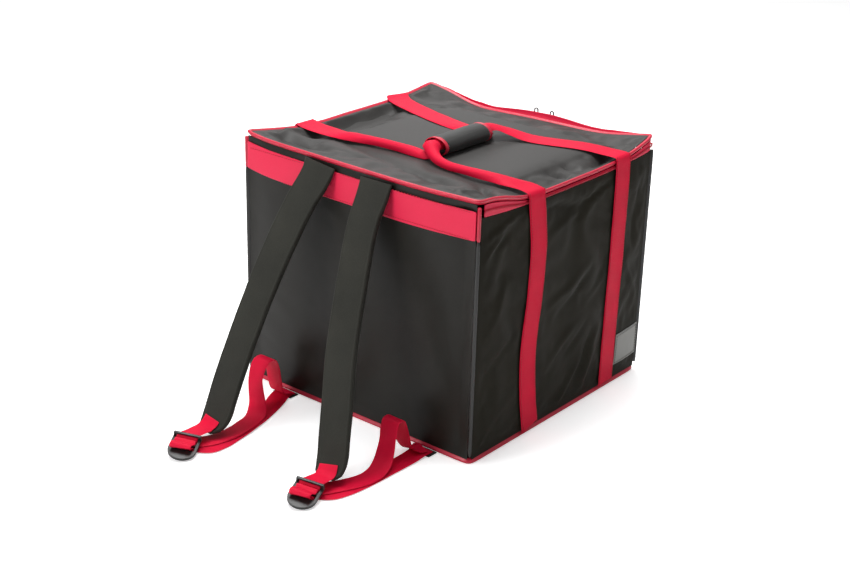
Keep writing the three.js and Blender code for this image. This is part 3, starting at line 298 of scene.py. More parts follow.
def weave_group():
    """Two crossing sets of threads as height, slow blotches of dye, and fine fibres."""
    group, start, end = empty_group(
        "cloth_weave", {"Threads": 900, "Blotch Scale": 14}, ("Height", "Blotch", "Fibres")
    )
    scaled = {0: start["Place"], "Scale": start["Threads"]}
    scaled = add(group, "ShaderNodeVectorMath", scaled, operation="SCALE")
    parts = add(group, "ShaderNodeSeparateXYZ", {0: scaled.outputs[0]})
    waves = [maths(group, "SINE", parts.outputs[axis]) for axis in ("X", "Y")]
    height = maths(group, "MULTIPLY_ADD", maths(group, "MULTIPLY", waves[0], 0.5), waves[1], 0.5)
    blotch = {"Vector": start["Place"], "Scale": start["Blotch Scale"], "Detail": 3}
    blotch = add(group, "ShaderNodeTexNoise", blotch)
    fibres = add(group, "ShaderNodeTexNoise", {"Vector": start["Place"], "Scale": 420, "Detail": 2})
    fill(end, {"Height": height, "Blotch": blotch.outputs["Fac"], "Fibres": fibres.outputs["Fac"]})
    return group


def wear_group():
    """Rubbed, lighter places on raised edges, broken up by noise."""
    group, start, end = empty_group("rubbed_edges", {"Amount": 0.5}, ("Wear",))
    shape = group.nodes.new("ShaderNodeNewGeometry")
    ramp = {"Value": shape.outputs["Pointiness"], "From Min": 0.52, "From Max": 0.62}
    ramp = add(group, "ShaderNodeMapRange", ramp)
    scuffs = add(group, "ShaderNodeTexNoise", {"Vector": start["Place"], "Scale": 60, "Detail": 4})
    patchy = maths(group, "MULTIPLY", ramp.outputs[0], scuffs.outputs["Fac"])
    fill(end, {"Wear": maths(group, "MULTIPLY", patchy, start["Amount"])})
    return group


weave_nodes = weave_group()
wear_nodes = wear_group()


def tint(colour, times=1.0, plus=0.0):
    """A colour made lighter or darker, with its alpha."""
    return (*[min(1.0, times * c + plus) for c in colour], 1)


def mixed(tree, factor, first, second, **settings):
    """The colour between two colours."""
    values = {"Factor": factor, "A": first, "B": second}
    return add(tree, "ShaderNodeMix", values, data_type="RGBA", **settings).outputs["Result"]


def cloth_material(
    name, dark, light, rough, threads, relief, turned=(0, 0, 0), sheen=0.0, level=0.3, uv=False
):
    """Woven cloth: dark to light by blotches and fibres, paler where rubbed, with its weave as bump."""
    material, tree, shader = plain_material(name)
    place = tree.nodes.new("ShaderNodeTexCoord").outputs
    mapping = add(tree, "ShaderNodeMapping", {"Vector": place["UV" if uv else "Object"], "Rotation": turned})
    weave = {"Place": mapping.outputs[0], "Threads": threads}
    weave = add(tree, "ShaderNodeGroup", weave, node_tree=weave_nodes).outputs
    wear = add(tree, "ShaderNodeGroup", {"Place": place["Object"], "Amount": 0.4}, node_tree=wear_nodes)
    centred = maths(tree, "MULTIPLY_ADD", weave["Fibres"], 0.5, -0.25)
    blend = maths(tree, "ADD", weave["Blotch"], centred, use_clamp=True)
    dye = mixed(tree, blend, tint(dark), tint(light))
    rubbed = mixed(tree, wear.outputs["Wear"], dye, tint(light, 1.6, 0.02))
    gloss = {"Value": weave["Blotch"], "To Min": rough - 0.06, "To Max": rough + 0.08}
    gloss = add(tree, "ShaderNodeMapRange", gloss)
    bump = add(tree, "ShaderNodeBump", {"Strength": 1.0, "Distance": relief, "Height": weave["Height"]})
    fill(shader, {"Base Color": rubbed, "Roughness": gloss.outputs[0], "Normal": bump.outputs["Normal"]})
    fill(shader, {"Specular IOR Level": level, "Sheen Weight": sheen, "Sheen Roughness": 0.4})
    return material


QUARTER = math.pi / 2
PANEL_DARK, PANEL_LIGHT = (0.011, 0.01, 0.0068), (0.022, 0.0195, 0.0135)
BACK_DARK, BACK_LIGHT = (0.009, 0.0083, 0.0066), (0.016, 0.0147, 0.0118)
THREADS = 4200
WEAVE_RELIEF = 0.00004
ACROSS_X, ACROSS_Y = (0, QUARTER, 0), (QUARTER, 0, 0)
panel_weave = (PANEL_DARK, PANEL_LIGHT, 0.5, THREADS, WEAVE_RELIEF)
side_cloth = cloth_material("side_cloth", *panel_weave, ACROSS_X, 0.0, 0.06)
front_cloth = cloth_material("front_cloth", *panel_weave, ACROSS_Y, 0.0, 0.06)
back_cloth = cloth_material("back_cloth", BACK_DARK, BACK_LIGHT, 0.36, 5200, 0.00002, ACROSS_Y, 0.0, 0.2)
PANEL_CLOTH = {"panel_front": front_cloth, "panel_back": back_cloth}


def seat(piece, material, slot, *nodes):
    """The piece gets its material, rides on the bag, and stands for its CAD solids, which it hides; its slot
    is not used.
    """
    piece.data.materials.append(material)
    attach(piece, "root")
    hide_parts(*nodes)


# The cloth is held under the sewn webbing, whose line follows the rings of its CAD solid, found again
# from the triangles.
END_REACH = 0.04
# Middle of each sweep's first ring, and the direction that it sets out in
SWEEP_STARTS = {
    "carry_handle_right": ((0.2179, -0.0758, 0.01), (0.051, -0.259, 0.964)),
    "carry_handle_left": ((-0.2178, -0.0758, 0.01), (-0.051, -0.256, 0.965)),
    "shoulder_strap_right": ((0.041, -0.2153, 0.3727), (0, -0.312, -0.95)),
    "shoulder_strap_left": ((-0.0626, -0.2151, 0.3745), (-0.101, -0.311, -0.945)),
    "strap_webbing_right": ((0.1404, -0.2181, 0.0027), (0.003, -1, 0.01)),
    "strap_webbing_left": ((-0.1274, -0.2181, 0.0027), (0.025, -1, 0.009)),
    "lock_webbing_right": ((0.1021, -0.3737, 0.0274), (0.234, -0.577, -0.782)),
    "lock_webbing_left": ((-0.1091, -0.3872, 0.0277), (-0.128, -0.614, -0.779)),
    "zip_coil": ((0.2155, -0.2005, 0.3677), (0, 0.998, -0.07)),
    "zip_tape_upper": ((0.2135, -0.2005, 0.3719), (0, 0.998, -0.058)),
}


def rings_of(node, count):
    """The rings of a swept solid in order from its start: an array of rings, points and xyz."""
    start, run = (Vector(v) for v in SWEEP_STARTS[node])
    mesh = bmesh.new()
    mesh.from_mesh(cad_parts[node].data)
    bmesh.ops.remove_doubles(mesh, verts=mesh.verts, dist=1e-5)
    close = [v for v in mesh.verts if (v.co - start).length < END_REACH]
    layers = [sorted(close, key=lambda v: abs((v.co - start).dot(run)))[:count]]
    seen = set(layers[0])
    while True:
        after = {e.other_vert(v) for v in layers[-1] for e in v.link_edges} - seen
        if not after:
            break
        seen |= after
        layers.append(list(after))
    if any(len(layer) != count for layer in layers):
        raise ValueError(node + ": its rings aren't whole: " + str([len(layer) for layer in layers]))
    found = []
    for layer in layers:
        inside = set(layer)
        cycle = [layer[0]]
        while len(cycle) < count:
            rim = [e for e in cycle[-1].link_edges if e.other_vert(cycle[-1]) in inside]
            rim = [e for e in rim if any(set(f.verts) - inside for f in e.link_faces)]
            cycle.append(next(v for v in (e.other_vert(cycle[-1]) for e in rim) if v not in cycle))
        points = np.array([v.co for v in cycle])
        if found:
            target = found[-1] - found[-1].mean(0)
            turns = [np.roll(p, k, axis=0) for p in (points, points[::-1]) for k in range(count)]
            points = min(turns, key=lambda p: (((p - p.mean(0)) - target) ** 2).sum())
        found.append(points)
    mesh.free()
    return np.array(found)


def smooth_run(values, samples):
    """Catmull-Rom curve through rows of values, at places counted in rows."""
    last = len(values) - 1
    k = np.clip(np.floor(samples).astype(int), 0, last - 1)
    t = (samples - k).reshape(-1, *[1] * (values.ndim - 1))
    before = values[np.maximum(k - 1, 0)]
    here, following = values[k], values[k + 1]
    after = values[np.minimum(k + 2, last)]
    return 0.5 * (
        2 * here
        + (following - before) * t
        + (2 * before - 5 * here + 4 * following - after) * t**2
        + (3 * here - before - 3 * following + after) * t**3
    )


def even_samples(line, step):
    """Places along a line of points, counted in rows, about a step apart, and the length up to each."""
    lengths = np.concatenate([[0], np.cumsum(np.linalg.norm(np.diff(line, axis=0), axis=1))])
    count = max(2, int(lengths[-1] / step))
    marks = np.linspace(0, lengths[-1], count + 1)
    return np.interp(marks, lengths, np.arange(len(line))), marks


# The slack cloth is held along its seams and under the webbing, so it buckles into creases between them.
CLOTH_CELL = 0.005
CLOTH_FRAMES = 18
HELD_BORDER = 0.013
HELD_BESIDE_WEBBING = 0.024
WEBBING_STEP = 0.006


def webbing_path(node):
    """The middle of a handle's webbing every few millimetres."""
    middle = rings_of(node, 10).mean(1)
    samples, _ = even_samples(middle, WEBBING_STEP)
    return smooth_run(middle, samples)


def slack_sheet(name, size, start, held, growth, stiff):
    """A cloth sheet of a size, set off from a start height at each place and held where held says 1."""
    columns, rows = (int(side / CLOTH_CELL) for side in size)
    bpy.ops.object.select_all(action="DESELECT")
    bpy.ops.mesh.primitive_grid_add(x_subdivisions=columns, y_subdivisions=rows, size=1)
    sheet = bpy.context.active_object
    sheet.name = name
    places, _ = points_of(sheet)
    places[:, :2] *= size
    places[:, 2] = start(places[:, 0], places[:, 1])
    put_points(sheet, places)
    group = sheet.vertex_groups.new(name="held")
    for i, weight in enumerate(held(places[:, 0], places[:, 1])):
        group.add([i], float(weight), "REPLACE")
    bpy.ops.object.modifier_add(type="CLOTH")
    cloth = sheet.modifiers[-1]
    settings = {
        "quality": 5, "mass": 0.25, "tension_stiffness": 18, "compression_stiffness": 18,
        "shear_stiffness": 6, "bending_stiffness": stiff, "air_damping": 2,
        "vertex_group_mass": "held", "shrink_min": -growth,
    }
    for setting, value in settings.items():
        setattr(cloth.settings, setting, value)
    cloth.settings.effector_weights.gravity = 0
    cloth.point_cache.frame_start = 1
    cloth.point_cache.frame_end = CLOTH_FRAMES
    return sheet


def settle(sheets):
    """Lets the sheets buckle, and gives each one's heights as a grid, with its coordinates."""
    for frame_number in range(1, CLOTH_FRAMES + 1):
        scene.frame_set(frame_number)
    view = bpy.context.evaluated_depsgraph_get()
    heights = {}
    for key, sheet in sheets.items():
        flat, _ = points_of(sheet)
        settled, _ = points_of(sheet.evaluated_get(view))
        across, up = np.unique(flat[:, 0].round(6)), np.unique(flat[:, 1].round(6))
        grid = np.zeros((len(across), len(up)))
        columns, rows = np.searchsorted(across, flat[:, 0].round(6)), np.searchsorted(up, flat[:, 1].round(6))
        grid[columns, rows] = settled[:, 2]
        heights[key] = (across, up, grid)
    scene.frame_set(1)
    for sheet in sheets.values():
        bpy.data.objects.remove(sheet)
    return heights


def read_grid(heights, x, y, cap):
    """Height of a settled sheet at each place, blended between its points, within a cap."""
    across, up, grid = heights
    column = np.clip(np.interp(x, across, np.arange(len(across))), 0, len(across) - 1.001)
    row = np.clip(np.interp(y, up, np.arange(len(up))), 0, len(up) - 1.001)
    i, j = column.astype(int), row.astype(int)
    a, b = column - i, row - j
    level = grid[i, j] * (1 - a) * (1 - b) + grid[i + 1, j] * a * (1 - b)
    level += grid[i, j + 1] * (1 - a) * b + grid[i + 1, j + 1] * a * b
    return cap * np.tanh(level / cap)


def held_weight(size, lines):
    """A function of place: 1 at a sheet's border and beside lines of webbing, and 0 elsewhere."""

    def held(x, y):
        edge = np.minimum(size[0] / 2 - np.abs(x), size[1] / 2 - np.abs(y))
        away = np.full(len(x), 1.0)
        for line in lines:
            for at in line:
                away = np.minimum(away, np.hypot(x - at[0], y - at[1]))
        return ((edge < HELD_BORDER) | (away < HELD_BESIDE_WEBBING)).astype(float)

    return held


ON_SIDE = 0.98
HANDLE_PATHS = {"side_panel_right": "carry_handle_right", "side_panel_left": "carry_handle_left"}
PATCH_LOW, PATCH_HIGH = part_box("reflective_patch")
# Points under the patch, along and up
HELD_AT_PATCH = [(y, z) for y in (0.16, 0.18, 0.2) for z in (0.045, 0.065)]
START_RUMPLE, START_RUMPLE_SIZE, START_CREASE = 0.0009, 0.07, 1.3
sheets, sizes = {}, {}
for node, panel in PANELS.items():
    if "slack" not in panel:
        continue
    low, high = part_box(node)
    size = (abs((high - low).dot(Vector(panel["along"]))), high.z - low.z)
    middle = (low.z + high.z) / 2
    lines = []
    if node in HANDLE_PATHS:
        path = webbing_path(HANDLE_PATHS[node])
        path = path[np.abs(path[:, 0]) > abs(low.x) * ON_SIDE]
        lines.append(np.stack([path[:, 1], path[:, 2] - middle], 1))
    if node == "side_panel_right":
        lines.append(np.array([(y, z - middle) for y, z in HELD_AT_PATCH]))

    def start(x, y, panel=panel, middle=middle):
        spots = np.stack([x, y, np.zeros(len(x))], 1)
        heights = START_RUMPLE * rumple(spots, START_RUMPLE_SIZE, panel["seed"])
        return heights + START_CREASE * crease_lines(x, y + middle, panel["creases"], panel["seed"])

    sizes[node] = (size, middle)
    held = held_weight(size, lines)
    sheets[node] = slack_sheet(node + "_cloth", size, start, held, *panel["slack"][:2])
settled = settle(sheets)

for node, panel in PANELS.items():
    piece = fine_copy(node, 3)
    places, normals = points_of(piece)
    out, way = np.array(panel["out"]), np.array(panel["along"])
    low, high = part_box(node)
    along, up = places @ way, places[:, 2]
    outside = np.clip((normals @ out - 0.3) / 0.4, 0, 1)
    half = float(max(abs(np.array(low) @ way), abs(np.array(high) @ way)))
    border = np.clip((half - np.abs(along)) / PANEL_BORDER, 0, 1) * np.clip((up - low.z) / PANEL_BORDER, 0, 1)
    border *= np.clip((high.z - up - TOP_SEAM) / PANEL_BORDER, 0, 1)
    if node in sheets:
        heights = read_grid(settled[node], along, up - sizes[node][1], panel["slack"][2])
        heights += 0.0003 * rumple(places, 0.02, panel["seed"])
    else:
        heights = panel["rumple"] * rumple(places, 0.055, panel["seed"])
        heights += crease_lines(along, up, panel["creases"], panel["seed"])
    if node == "panel_back":
        leaning = along + 0.05 * (up - 0.2)
        heights += BACK_WAVE * np.sin(2 * np.pi * leaning / BACK_WAVE_LENGTH + 0.9)
        heights -= BACK_TURN * np.clip((along - BACK_TURN_FROM) / BACK_TURN_WIDTH, 0, 1) ** 2
    places += out * (heights * outside * border)[:, None]
    put_points(piece, places)
    slot = "back_fabric" if node == "panel_back" else "shell_fabric"
    seat(piece, PANEL_CLOTH.get(node, side_cloth), slot, node)

# Base: the same cloth over foam, flat on the floor and turned up into the seam.
base = fine_copy("base_panel", 2)
base_cloth = cloth_material(
    "base_cloth", (0.009, 0.009, 0.008), (0.018, 0.018, 0.016), 0.6, THREADS, WEAVE_RELIEF, (0, 0, 0), 0.05
)
seat(base, base_cloth, "shell_fabric", "base_panel")

# Lid: one sheet of the cloth over foam with a stiff board in its middle. The border is
# slack, so it folds where the handles pull on it and stands up at the corners.
# Creases as from, to (x, y), width and height, in metres
LID_CREASES = [
    ((-0.17, -0.11), (-0.18, 0.09), 0.015, -0.011),
    ((-0.199, -0.17), (-0.2, 0.17), 0.008, 0.007),
    ((-0.2, -0.165), (-0.115, -0.158), 0.008, -0.0065),
    ((-0.205, -0.145), (-0.15, -0.138), 0.006, 0.0035),
    ((-0.185, 0.115), (-0.12, 0.14), 0.007, -0.005),
    ((-0.13, -0.105), (0.04, -0.15), 0.008, -0.003),
    ((0.05, -0.15), (0.15, -0.158), 0.007, -0.0035),
    ((0.2, 0.07), (0.192, 0.15), 0.007, -0.0075),
    ((0.178, 0.095), (0.172, 0.15), 0.006, 0.004),
    ((0.18, -0.004), (0.206, 0.01), 0.007, -0.007),
    ((0.172, 0.028), (0.2, 0.046), 0.006, -0.005),
    ((0.15, -0.135), (0.2, -0.166), 0.007, -0.0075),
    ((0.16, -0.205), (0.18, -0.155), 0.006, 0.005),
    ((0.19, -0.188), (0.206, -0.172), 0.006, -0.005),
    ((0.11, -0.175), (0.165, -0.198), 0.006, 0.003),
    ((-0.12, 0.172), (0.05, 0.168), 0.008, -0.0025),
]
LID_SLACK = {"growth": 0.013, "stiff": 3.0, "cap": 0.011}
BOARD_LOW, BOARD_HIGH = (-0.136, -0.150), (0.176, 0.150)
BOARD_STEP = 0.0022
BOARD_EDGE = 0.006
HELD_LID_BORDER = 0.010
LID_BORDER = 0.012
LID_SEED = 61.1
OVER_LID = 0.93
BESIDE_HANDLE = 0.022
lid = fine_copy("lid_panel", 3)
places, normals = points_of(lid)
low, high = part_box("lid_panel")
x, y = places[:, 0], places[:, 1]


def board_share(x, y):
    """1 over the lid's board, falling to 0 past its edges."""
    into = np.minimum(x - BOARD_LOW[0], BOARD_HIGH[0] - x)
    into = np.minimum(into, np.minimum(y - BOARD_LOW[1], BOARD_HIGH[1] - y))
    return np.clip(into / BOARD_EDGE, 0, 1)


def lid_start(x, y):
    """Heights that the slack cloth starts from."""
    spots = np.stack([x, y, np.zeros(len(x))], 1)
    rumples = 0.0008 * rumple(spots, 0.09, 53.3) * (1 - board_share(x, y))
    return rumples + crease_lines(x, y, LID_CREASES, LID_SEED)


def lid_held(x, y):
    """1 at the lid's seams and on its board."""
    edge = np.minimum(high.x - np.abs(x), high.y - np.abs(y))
    return ((edge < HELD_LID_BORDER) | (board_share(x, y) > 0.5)).astype(float)


heights = lid_start(x, y)
size = (2 * high.x, 2 * high.y)
sheet = slack_sheet("lid_cloth", size, lid_start, lid_held, LID_SLACK["growth"], LID_SLACK["stiff"])
heights = read_grid(settle({"lid": sheet})["lid"], x, y, LID_SLACK["cap"])
heights += 0.5 * crease_lines(x, y, LID_CREASES, LID_SEED)
away = np.full(len(x), 1.0)
for node in ("carry_handle_right", "carry_handle_left"):
    path = webbing_path(node)
    for at in path[path[:, 2] > high.z * OVER_LID]:
        away = np.minimum(away, np.hypot(x - at[0], y - at[1]))
under = np.exp(-((away / BESIDE_HANDLE) ** 4))
heights = heights * (1 - under) + np.minimum(heights, 0) * under
heights += BOARD_STEP * board_share(x, y) * (1 - under)
top = np.clip((normals[:, 2] - 0.4) / 0.4, 0, 1)
border = np.clip((high.x - np.abs(x)) / LID_BORDER, 0, 1) * np.clip((high.y - np.abs(y)) / LID_BORDER, 0, 1)
places[:, 2] += heights * top * border
put_points(lid, places)
# Painted light: the lid is the panels' cloth in a paler colour than theirs, standing in for its top lit from
# above.
LID_DARK_PAINTED_LIT, LID_LIGHT_PAINTED_LIT = (0.026, 0.0248, 0.0236), (0.045, 0.0432, 0.0415)
lid_weave_painted_lit = (LID_DARK_PAINTED_LIT, LID_LIGHT_PAINTED_LIT, 0.5, THREADS, WEAVE_RELIEF)
lid_cloth = cloth_material("lid_cloth", *lid_weave_painted_lit, sheen=0.03, level=0.22)
seat(lid, lid_cloth, "lid_fabric", "lid_panel")

# Piping: a cord wrapped in coated red cloth, sewn between the panels round the lid and the
# base. The tub's upright corners have the same cord in dark cloth, red beside the band.
PIPING_SWELL = 0.0003


def coated_material(name, colour, rough, coat, relief):
    """Coated cloth pulled over a cord: smooth, with fine cross puckers."""
    material, tree, shader = plain_material(name)
    place = tree.nodes.new("ShaderNodeTexCoord").outputs["Object"]
    pucker = add(tree, "ShaderNodeTexNoise", {"Vector": place, "Scale": 260, "Detail": 3})
    blotch = add(tree, "ShaderNodeTexNoise", {"Vector": place, "Scale": 30})
    dye = mixed(tree, blotch.outputs["Fac"], tint(colour, 0.75), tint(colour, 1.2))
    bump = add(tree, "ShaderNodeBump", {"Distance": relief, "Height": pucker.outputs["Fac"]})
    fill(shader, {"Base Color": dye, "Roughness": rough, "Normal": bump.outputs["Normal"]})
    fill(shader, {"Coat Weight": coat, "Coat Roughness": 0.25})
    return material


RED = (0.54, 0.006, 0.036)
red_piping = coated_material("red_piping", RED, 0.42, 0.15, 0.0002)
dark_piping = coated_material("dark_piping", (0.015, 0.015, 0.014), 0.45, 0.1, 0.0002)
BOUND = ["lid_piping", "base_piping", "corner_binding_back_left", "corner_binding_back_right"]
CORNERS = ["corner_piping_" + corner for corner in ("back_left", "back_right", "front_left", "front_right")]
for material, slot, nodes in ((red_piping, "piping", BOUND), (dark_piping, "dark_piping", CORNERS)):
    for node in nodes:
        piece = fine_copy(node, 2, 75)
        places, normals = points_of(piece)
        put_points(piece, places + normals * PIPING_SWELL)
        seat(piece, material, slot, node)


# Carry handles: one length of wide webbing on each side, sewn up the side panel in two runs
# and carried over the lid into the grip.
def closed_piece(name, verts, faces, uvs=None):
    """A new closed piece, with its faces turned out and shaded smooth, and its own UV map when uvs are given.
    """
    mesh = bpy.data.meshes.new(name)
    mesh.from_pydata(verts.tolist(), [], faces)
    if uvs:
        layer = mesh.uv_layers.new(name="along_across")
        layer.data.foreach_set("uv", np.array(uvs, float).ravel())
    piece = bpy.data.objects.new(name, mesh)
    scene.collection.objects.link(piece)
    only(piece)
    bpy.ops.object.mode_set(mode="EDIT")
    bpy.ops.mesh.select_all(action="SELECT")
    bpy.ops.mesh.normals_make_consistent(inside=False)
    bpy.ops.object.mode_set(mode="OBJECT")
    bpy.ops.object.shade_smooth_by_angle(angle=math.radians(60))
    return piece


def lofted(name, rings, lengths, widths):
    """A closed piece through rings of points, with its UV map in metres: along, and round the ring."""
    count, around = rings.shape[:2]
    faces, uvs = [], []
    for i in range(count - 1):
        here, there = i * around, (i + 1) * around
        for j in range(around):
            k = (j + 1) % around
            faces.append((here + j, here + k, there + k, there + j))
            near, far = widths[j], widths[k] if k else widths[j]
            uvs += [(lengths[i], near), (lengths[i], far), (lengths[i + 1], far), (lengths[i + 1], near)]
    for i, flip in ((0, True), (count - 1, False)):
        for j in range(around // 2 - 1):
            quad = [i * around + q for q in (j, j + 1, around - 2 - j, around - 1 - j)]
            faces.append(tuple(reversed(quad)) if flip else tuple(quad))
            uvs += [(lengths[i], widths[j])] * 4
    return closed_piece(name, rings.reshape(-1, 3), faces, uvs)


def faces_of(rings, across):
    """The two wide faces of webbing's rings, as rows of across + 1 points that match."""
    count = rings.shape[1]
    middle = rings[len(rings) // 2]
    sides = np.linalg.norm(np.roll(middle, -1, 0) - middle, axis=1)
    first = (int(np.argmin(sides)) + 1) % count
    turned = np.roll(rings, -first, axis=1)
    return turned[:, : across + 1], turned[:, across + 1 :][:, ::-1]


SECTION_STEPS = 14
# Webbing that curls up beside the grip is drawn together
CURLED_CHORD, CURL_RANGE, CURL_SQUEEZE = 0.038, 0.012, 0.2


def webbing_piece(name, node, across, step, edge_wander, seed):
    """Webbing along a CAD sweep, with rounded selvedges that wander a little, and its two faces."""
    rings = rings_of(node, 2 * (across + 1))
    face_a, face_b = faces_of(rings, across)
    centre = (face_a + face_b) / 2
    samples, lengths = even_samples(centre[:, across // 2], step)
    rows = smooth_run(centre, samples)
    thick = smooth_run(face_a - face_b, samples)
    shares = np.sin(np.linspace(-np.pi / 2, np.pi / 2, SECTION_STEPS + 1))
    columns = (shares + 1) / 2 * across
    middle = smooth_run(rows.transpose(1, 0, 2), columns).transpose(1, 0, 2)
    half = smooth_run(thick.transpose(1, 0, 2), columns).transpose(1, 0, 2) / 2
    width = np.linalg.norm(rows[:, -1] - rows[:, 0], axis=1).max()
    chords = np.linalg.norm(middle[:, -1] - middle[:, 0], axis=1)
    curled = np.clip((CURLED_CHORD - chords) / CURL_RANGE, 0, 1) * (width > CURLED_CHORD)
    for i in np.flatnonzero(curled > 0):
        lowest = middle[i, :, 2].min()
        core = middle[i].mean(0)
        middle[i] = core + (middle[i] - core) * (1 - CURL_SQUEEZE * curled[i])
        middle[i, :, 2] += lowest - middle[i, :, 2].min()
    for i, length in enumerate(lengths):
        wander = 1 + edge_wander / width * noise.noise(Vector((length * 45, seed, 0)))
        lift = 0.0006 * noise.noise(Vector((length * 20, seed, 5)))
        core = middle[i].mean(0)
        middle[i] = core + (middle[i] - core) * wander
        direction = half[i] / np.linalg.norm(half[i], axis=1)[:, None]
        middle[i] += direction * (lift * np.abs(shares) ** 2)[:, None]
    round_edge = np.clip(1 - np.abs(shares) ** 10, 0, 1)[None, :, None]
    upper = middle + half * round_edge
    lower = middle - half * round_edge
    ring_rows = np.concatenate([upper, lower[:, 1:-1][:, ::-1]], axis=1)
    across_mm = shares * width / 2
    widths = np.concatenate([across_mm, across_mm[1:-1][::-1]])
    return lofted(name, ring_rows, lengths, widths), upper, lower


def webbing_material(name, colour, rough, pitch):
    """Woven webbing: ribbed across, with painted shade in the hollows of its weave, blotches of dye, and
    paler where rubbed.
    """
    material, tree, shader = plain_material(name)
    place = tree.nodes.new("ShaderNodeTexCoord").outputs
    weave = {"Place": place["UV"], "Threads": 2 * math.pi / pitch, "Blotch Scale": 25}
    weave = add(tree, "ShaderNodeGroup", weave, node_tree=weave_nodes).outputs
    wear = add(tree, "ShaderNodeGroup", {"Place": place["Object"], "Amount": 0.35}, node_tree=wear_nodes)
    dye = mixed(tree, weave["Blotch"], tint(colour, 0.82), tint(colour, 1.15))
    # Painted shade: the colour darkens where the weave is low, in the hollows of the weave.
    shade = add(tree, "ShaderNodeMapRange", {"Value": weave["Height"], "To Min": 0.55, "To Max": 1.0})
    painted_rib_shade = mixed(tree, 0.22, dye, shade.outputs[0], blend_type="MULTIPLY")
    rubbed = mixed(tree, wear.outputs["Wear"], painted_rib_shade, tint(colour, 1.25, 0.05))
    bump = add(tree, "ShaderNodeBump", {"Distance": 0.0002, "Height": weave["Height"]})
    fill(shader, {"Base Color": rubbed, "Roughness": rough, "Normal": bump.outputs["Normal"]})
    fill(shader, {"Specular IOR Level": 0.1, "Sheen Weight": 0.03, "Sheen Roughness": 0.35})
    fill(shader, {"Sheen Tint": (1.0, 0.45, 0.45, 1)})
    return material


red_webbing = webbing_material("red_webbing", (0.66, 0.004, 0.037), 0.52, 0.0022)


# Stitch rows run inside the webbing's selvedges. A bar's profile is the place along it and its radius,
# as shares of its half axes.
STITCH_PITCH = 0.0042
STITCH_SHARE = 0.36
THREAD = 0.0011
STITCH_ROW = 0.84
BAR_PROFILE = [(-1.0, 0.35), (-0.75, 0.9), (0.75, 0.9), (1.0, 0.35)]
BAR_SIDES = 6


def many(name, seats):
    """One mesh of small rounded bars, each from its middle and its three half axes, as rows of 4 vectors."""
    around = np.arange(BAR_SIDES) * 2 * np.pi / BAR_SIDES
    shape = np.array([(a, r * math.cos(t), r * math.sin(t)) for a, r in BAR_PROFILE for t in around])
    seats = np.array(seats)
    verts = seats[:, None, 0] + np.einsum("vk,skd->svd", shape, seats[:, 1:])
    last = (len(BAR_PROFILE) - 1) * BAR_SIDES
    faces = []
    for start in range(0, last, BAR_SIDES):
        for j in range(BAR_SIDES):
            k = (j + 1) % BAR_SIDES
            faces.append([start + j, start + k, start + BAR_SIDES + k, start + BAR_SIDES + j])
    faces += [list(range(BAR_SIDES))[::-1], list(range(last, last + BAR_SIDES))]
    every = [[i * len(shape) + v for v in face] for i in range(len(seats)) for face in faces]
    return closed_piece(name, verts.reshape(-1, 3), every)


def stitches(line, outward):
    """Seats of a row of stitches along a line of points, standing on the side that outward points to."""
    samples, _ = even_samples(line, STITCH_PITCH)
    middles, outs = smooth_run(line, samples), smooth_run(outward, samples)
    runs = np.gradient(middles, axis=0)
    half = THREAD / 2
    seats = []
    for middle, out, run in zip(middles, outs, runs):
        run = run / np.linalg.norm(run)
        out = out / np.linalg.norm(out)
        across = np.cross(out, run)
        along = run * STITCH_PITCH * STITCH_SHARE
        seats.append((middle + out * THREAD / 3, along, across * half, out * half))
    return seats


MIDDLE = SECTION_STEPS // 2
ON_PANEL = 0.97
FEWEST_ROWS = 8
HANDLE_SEEDS = {"carry_handle_right": 1.0, "carry_handle_left": 7.0}
red_thread = coated_material("red_thread", (0.5, 0.006, 0.03), 0.6, 0.0, 0.00005)
handle_seats = []
for node, seed in HANDLE_SEEDS.items():
    piece, upper, lower = webbing_piece(node + "_webbing", node, 4, WEBBING_STEP, 0.0009, seed)
    seat(piece, red_webbing, "webbing", node)
    outer = upper if abs(upper[3, MIDDLE, 0]) > abs(lower[3, MIDDLE, 0]) else lower
    inner = lower if outer is upper else upper
    on_side = np.abs(outer[:, MIDDLE, 0]) > abs(outer[0, MIDDLE, 0]) * ON_PANEL
    for part in np.split(np.arange(len(outer)), np.flatnonzero(np.diff(on_side.astype(int))) + 1):
        if not on_side[part[0]] or len(part) < FEWEST_ROWS:
            continue
        for share in (-STITCH_ROW, STITCH_ROW):
            column = (math.asin(share) / np.pi + 0.5) * SECTION_STEPS
            left, weight = int(column), column - int(column)
            line = outer[part, left] * (1 - weight) + outer[part, left + 1] * weight
            back = inner[part, left] * (1 - weight) + inner[part, left + 1] * weight
            handle_seats += stitches(line, line - back)
handle_stitches = many("handle_stitches", handle_seats)
seat(handle_stitches, red_thread, "webbing")

# Grip: a flap of the dark cloth closed round both webbings, with red binding at its ends.
GRIP = {
    "grip_wrap": ("grip", 0.0006),
    "grip_binding_near": ("grip_binding", 0.0003),
    "grip_binding_far": ("grip_binding", 0.0003),
}
grip_cloth = cloth_material(
    "grip_cloth", (0.012, 0.012, 0.0115), (0.024, 0.024, 0.023), 0.5, 4200, 0.00005, (0, 0, 0), 0.1, 0.35
)
for node, (slot, depth) in GRIP.items():
    piece = fine_copy(node, 3)
    places, normals = points_of(piece)
    put_points(piece, places + normals * (depth * rumple(places, 0.012, 71.7))[:, None])
    seat(piece, grip_cloth if slot == "grip" else red_piping, slot, node)

# Band: coated red cloth sewn flat across the back panel, under the lid.
band = fine_copy("back_band", 3)
band_cloth = cloth_material(
    "band_cloth", (0.66, 0.009, 0.05), (0.76, 0.014, 0.068), 0.46, 5200, 0.00003, ACROSS_Y, 0.06
)
seat(band, band_cloth, "band", "back_band")


def laid(piece, starts, toward):
    """Where rays from the starts meet a piece, with the piece's normals there."""
    hits = [piece.ray_cast(Vector(start), Vector(toward)) for start in starts]
    return np.array([h[1] for h in hits if h[0]]), np.array([h[2] for h in hits if h[0]])


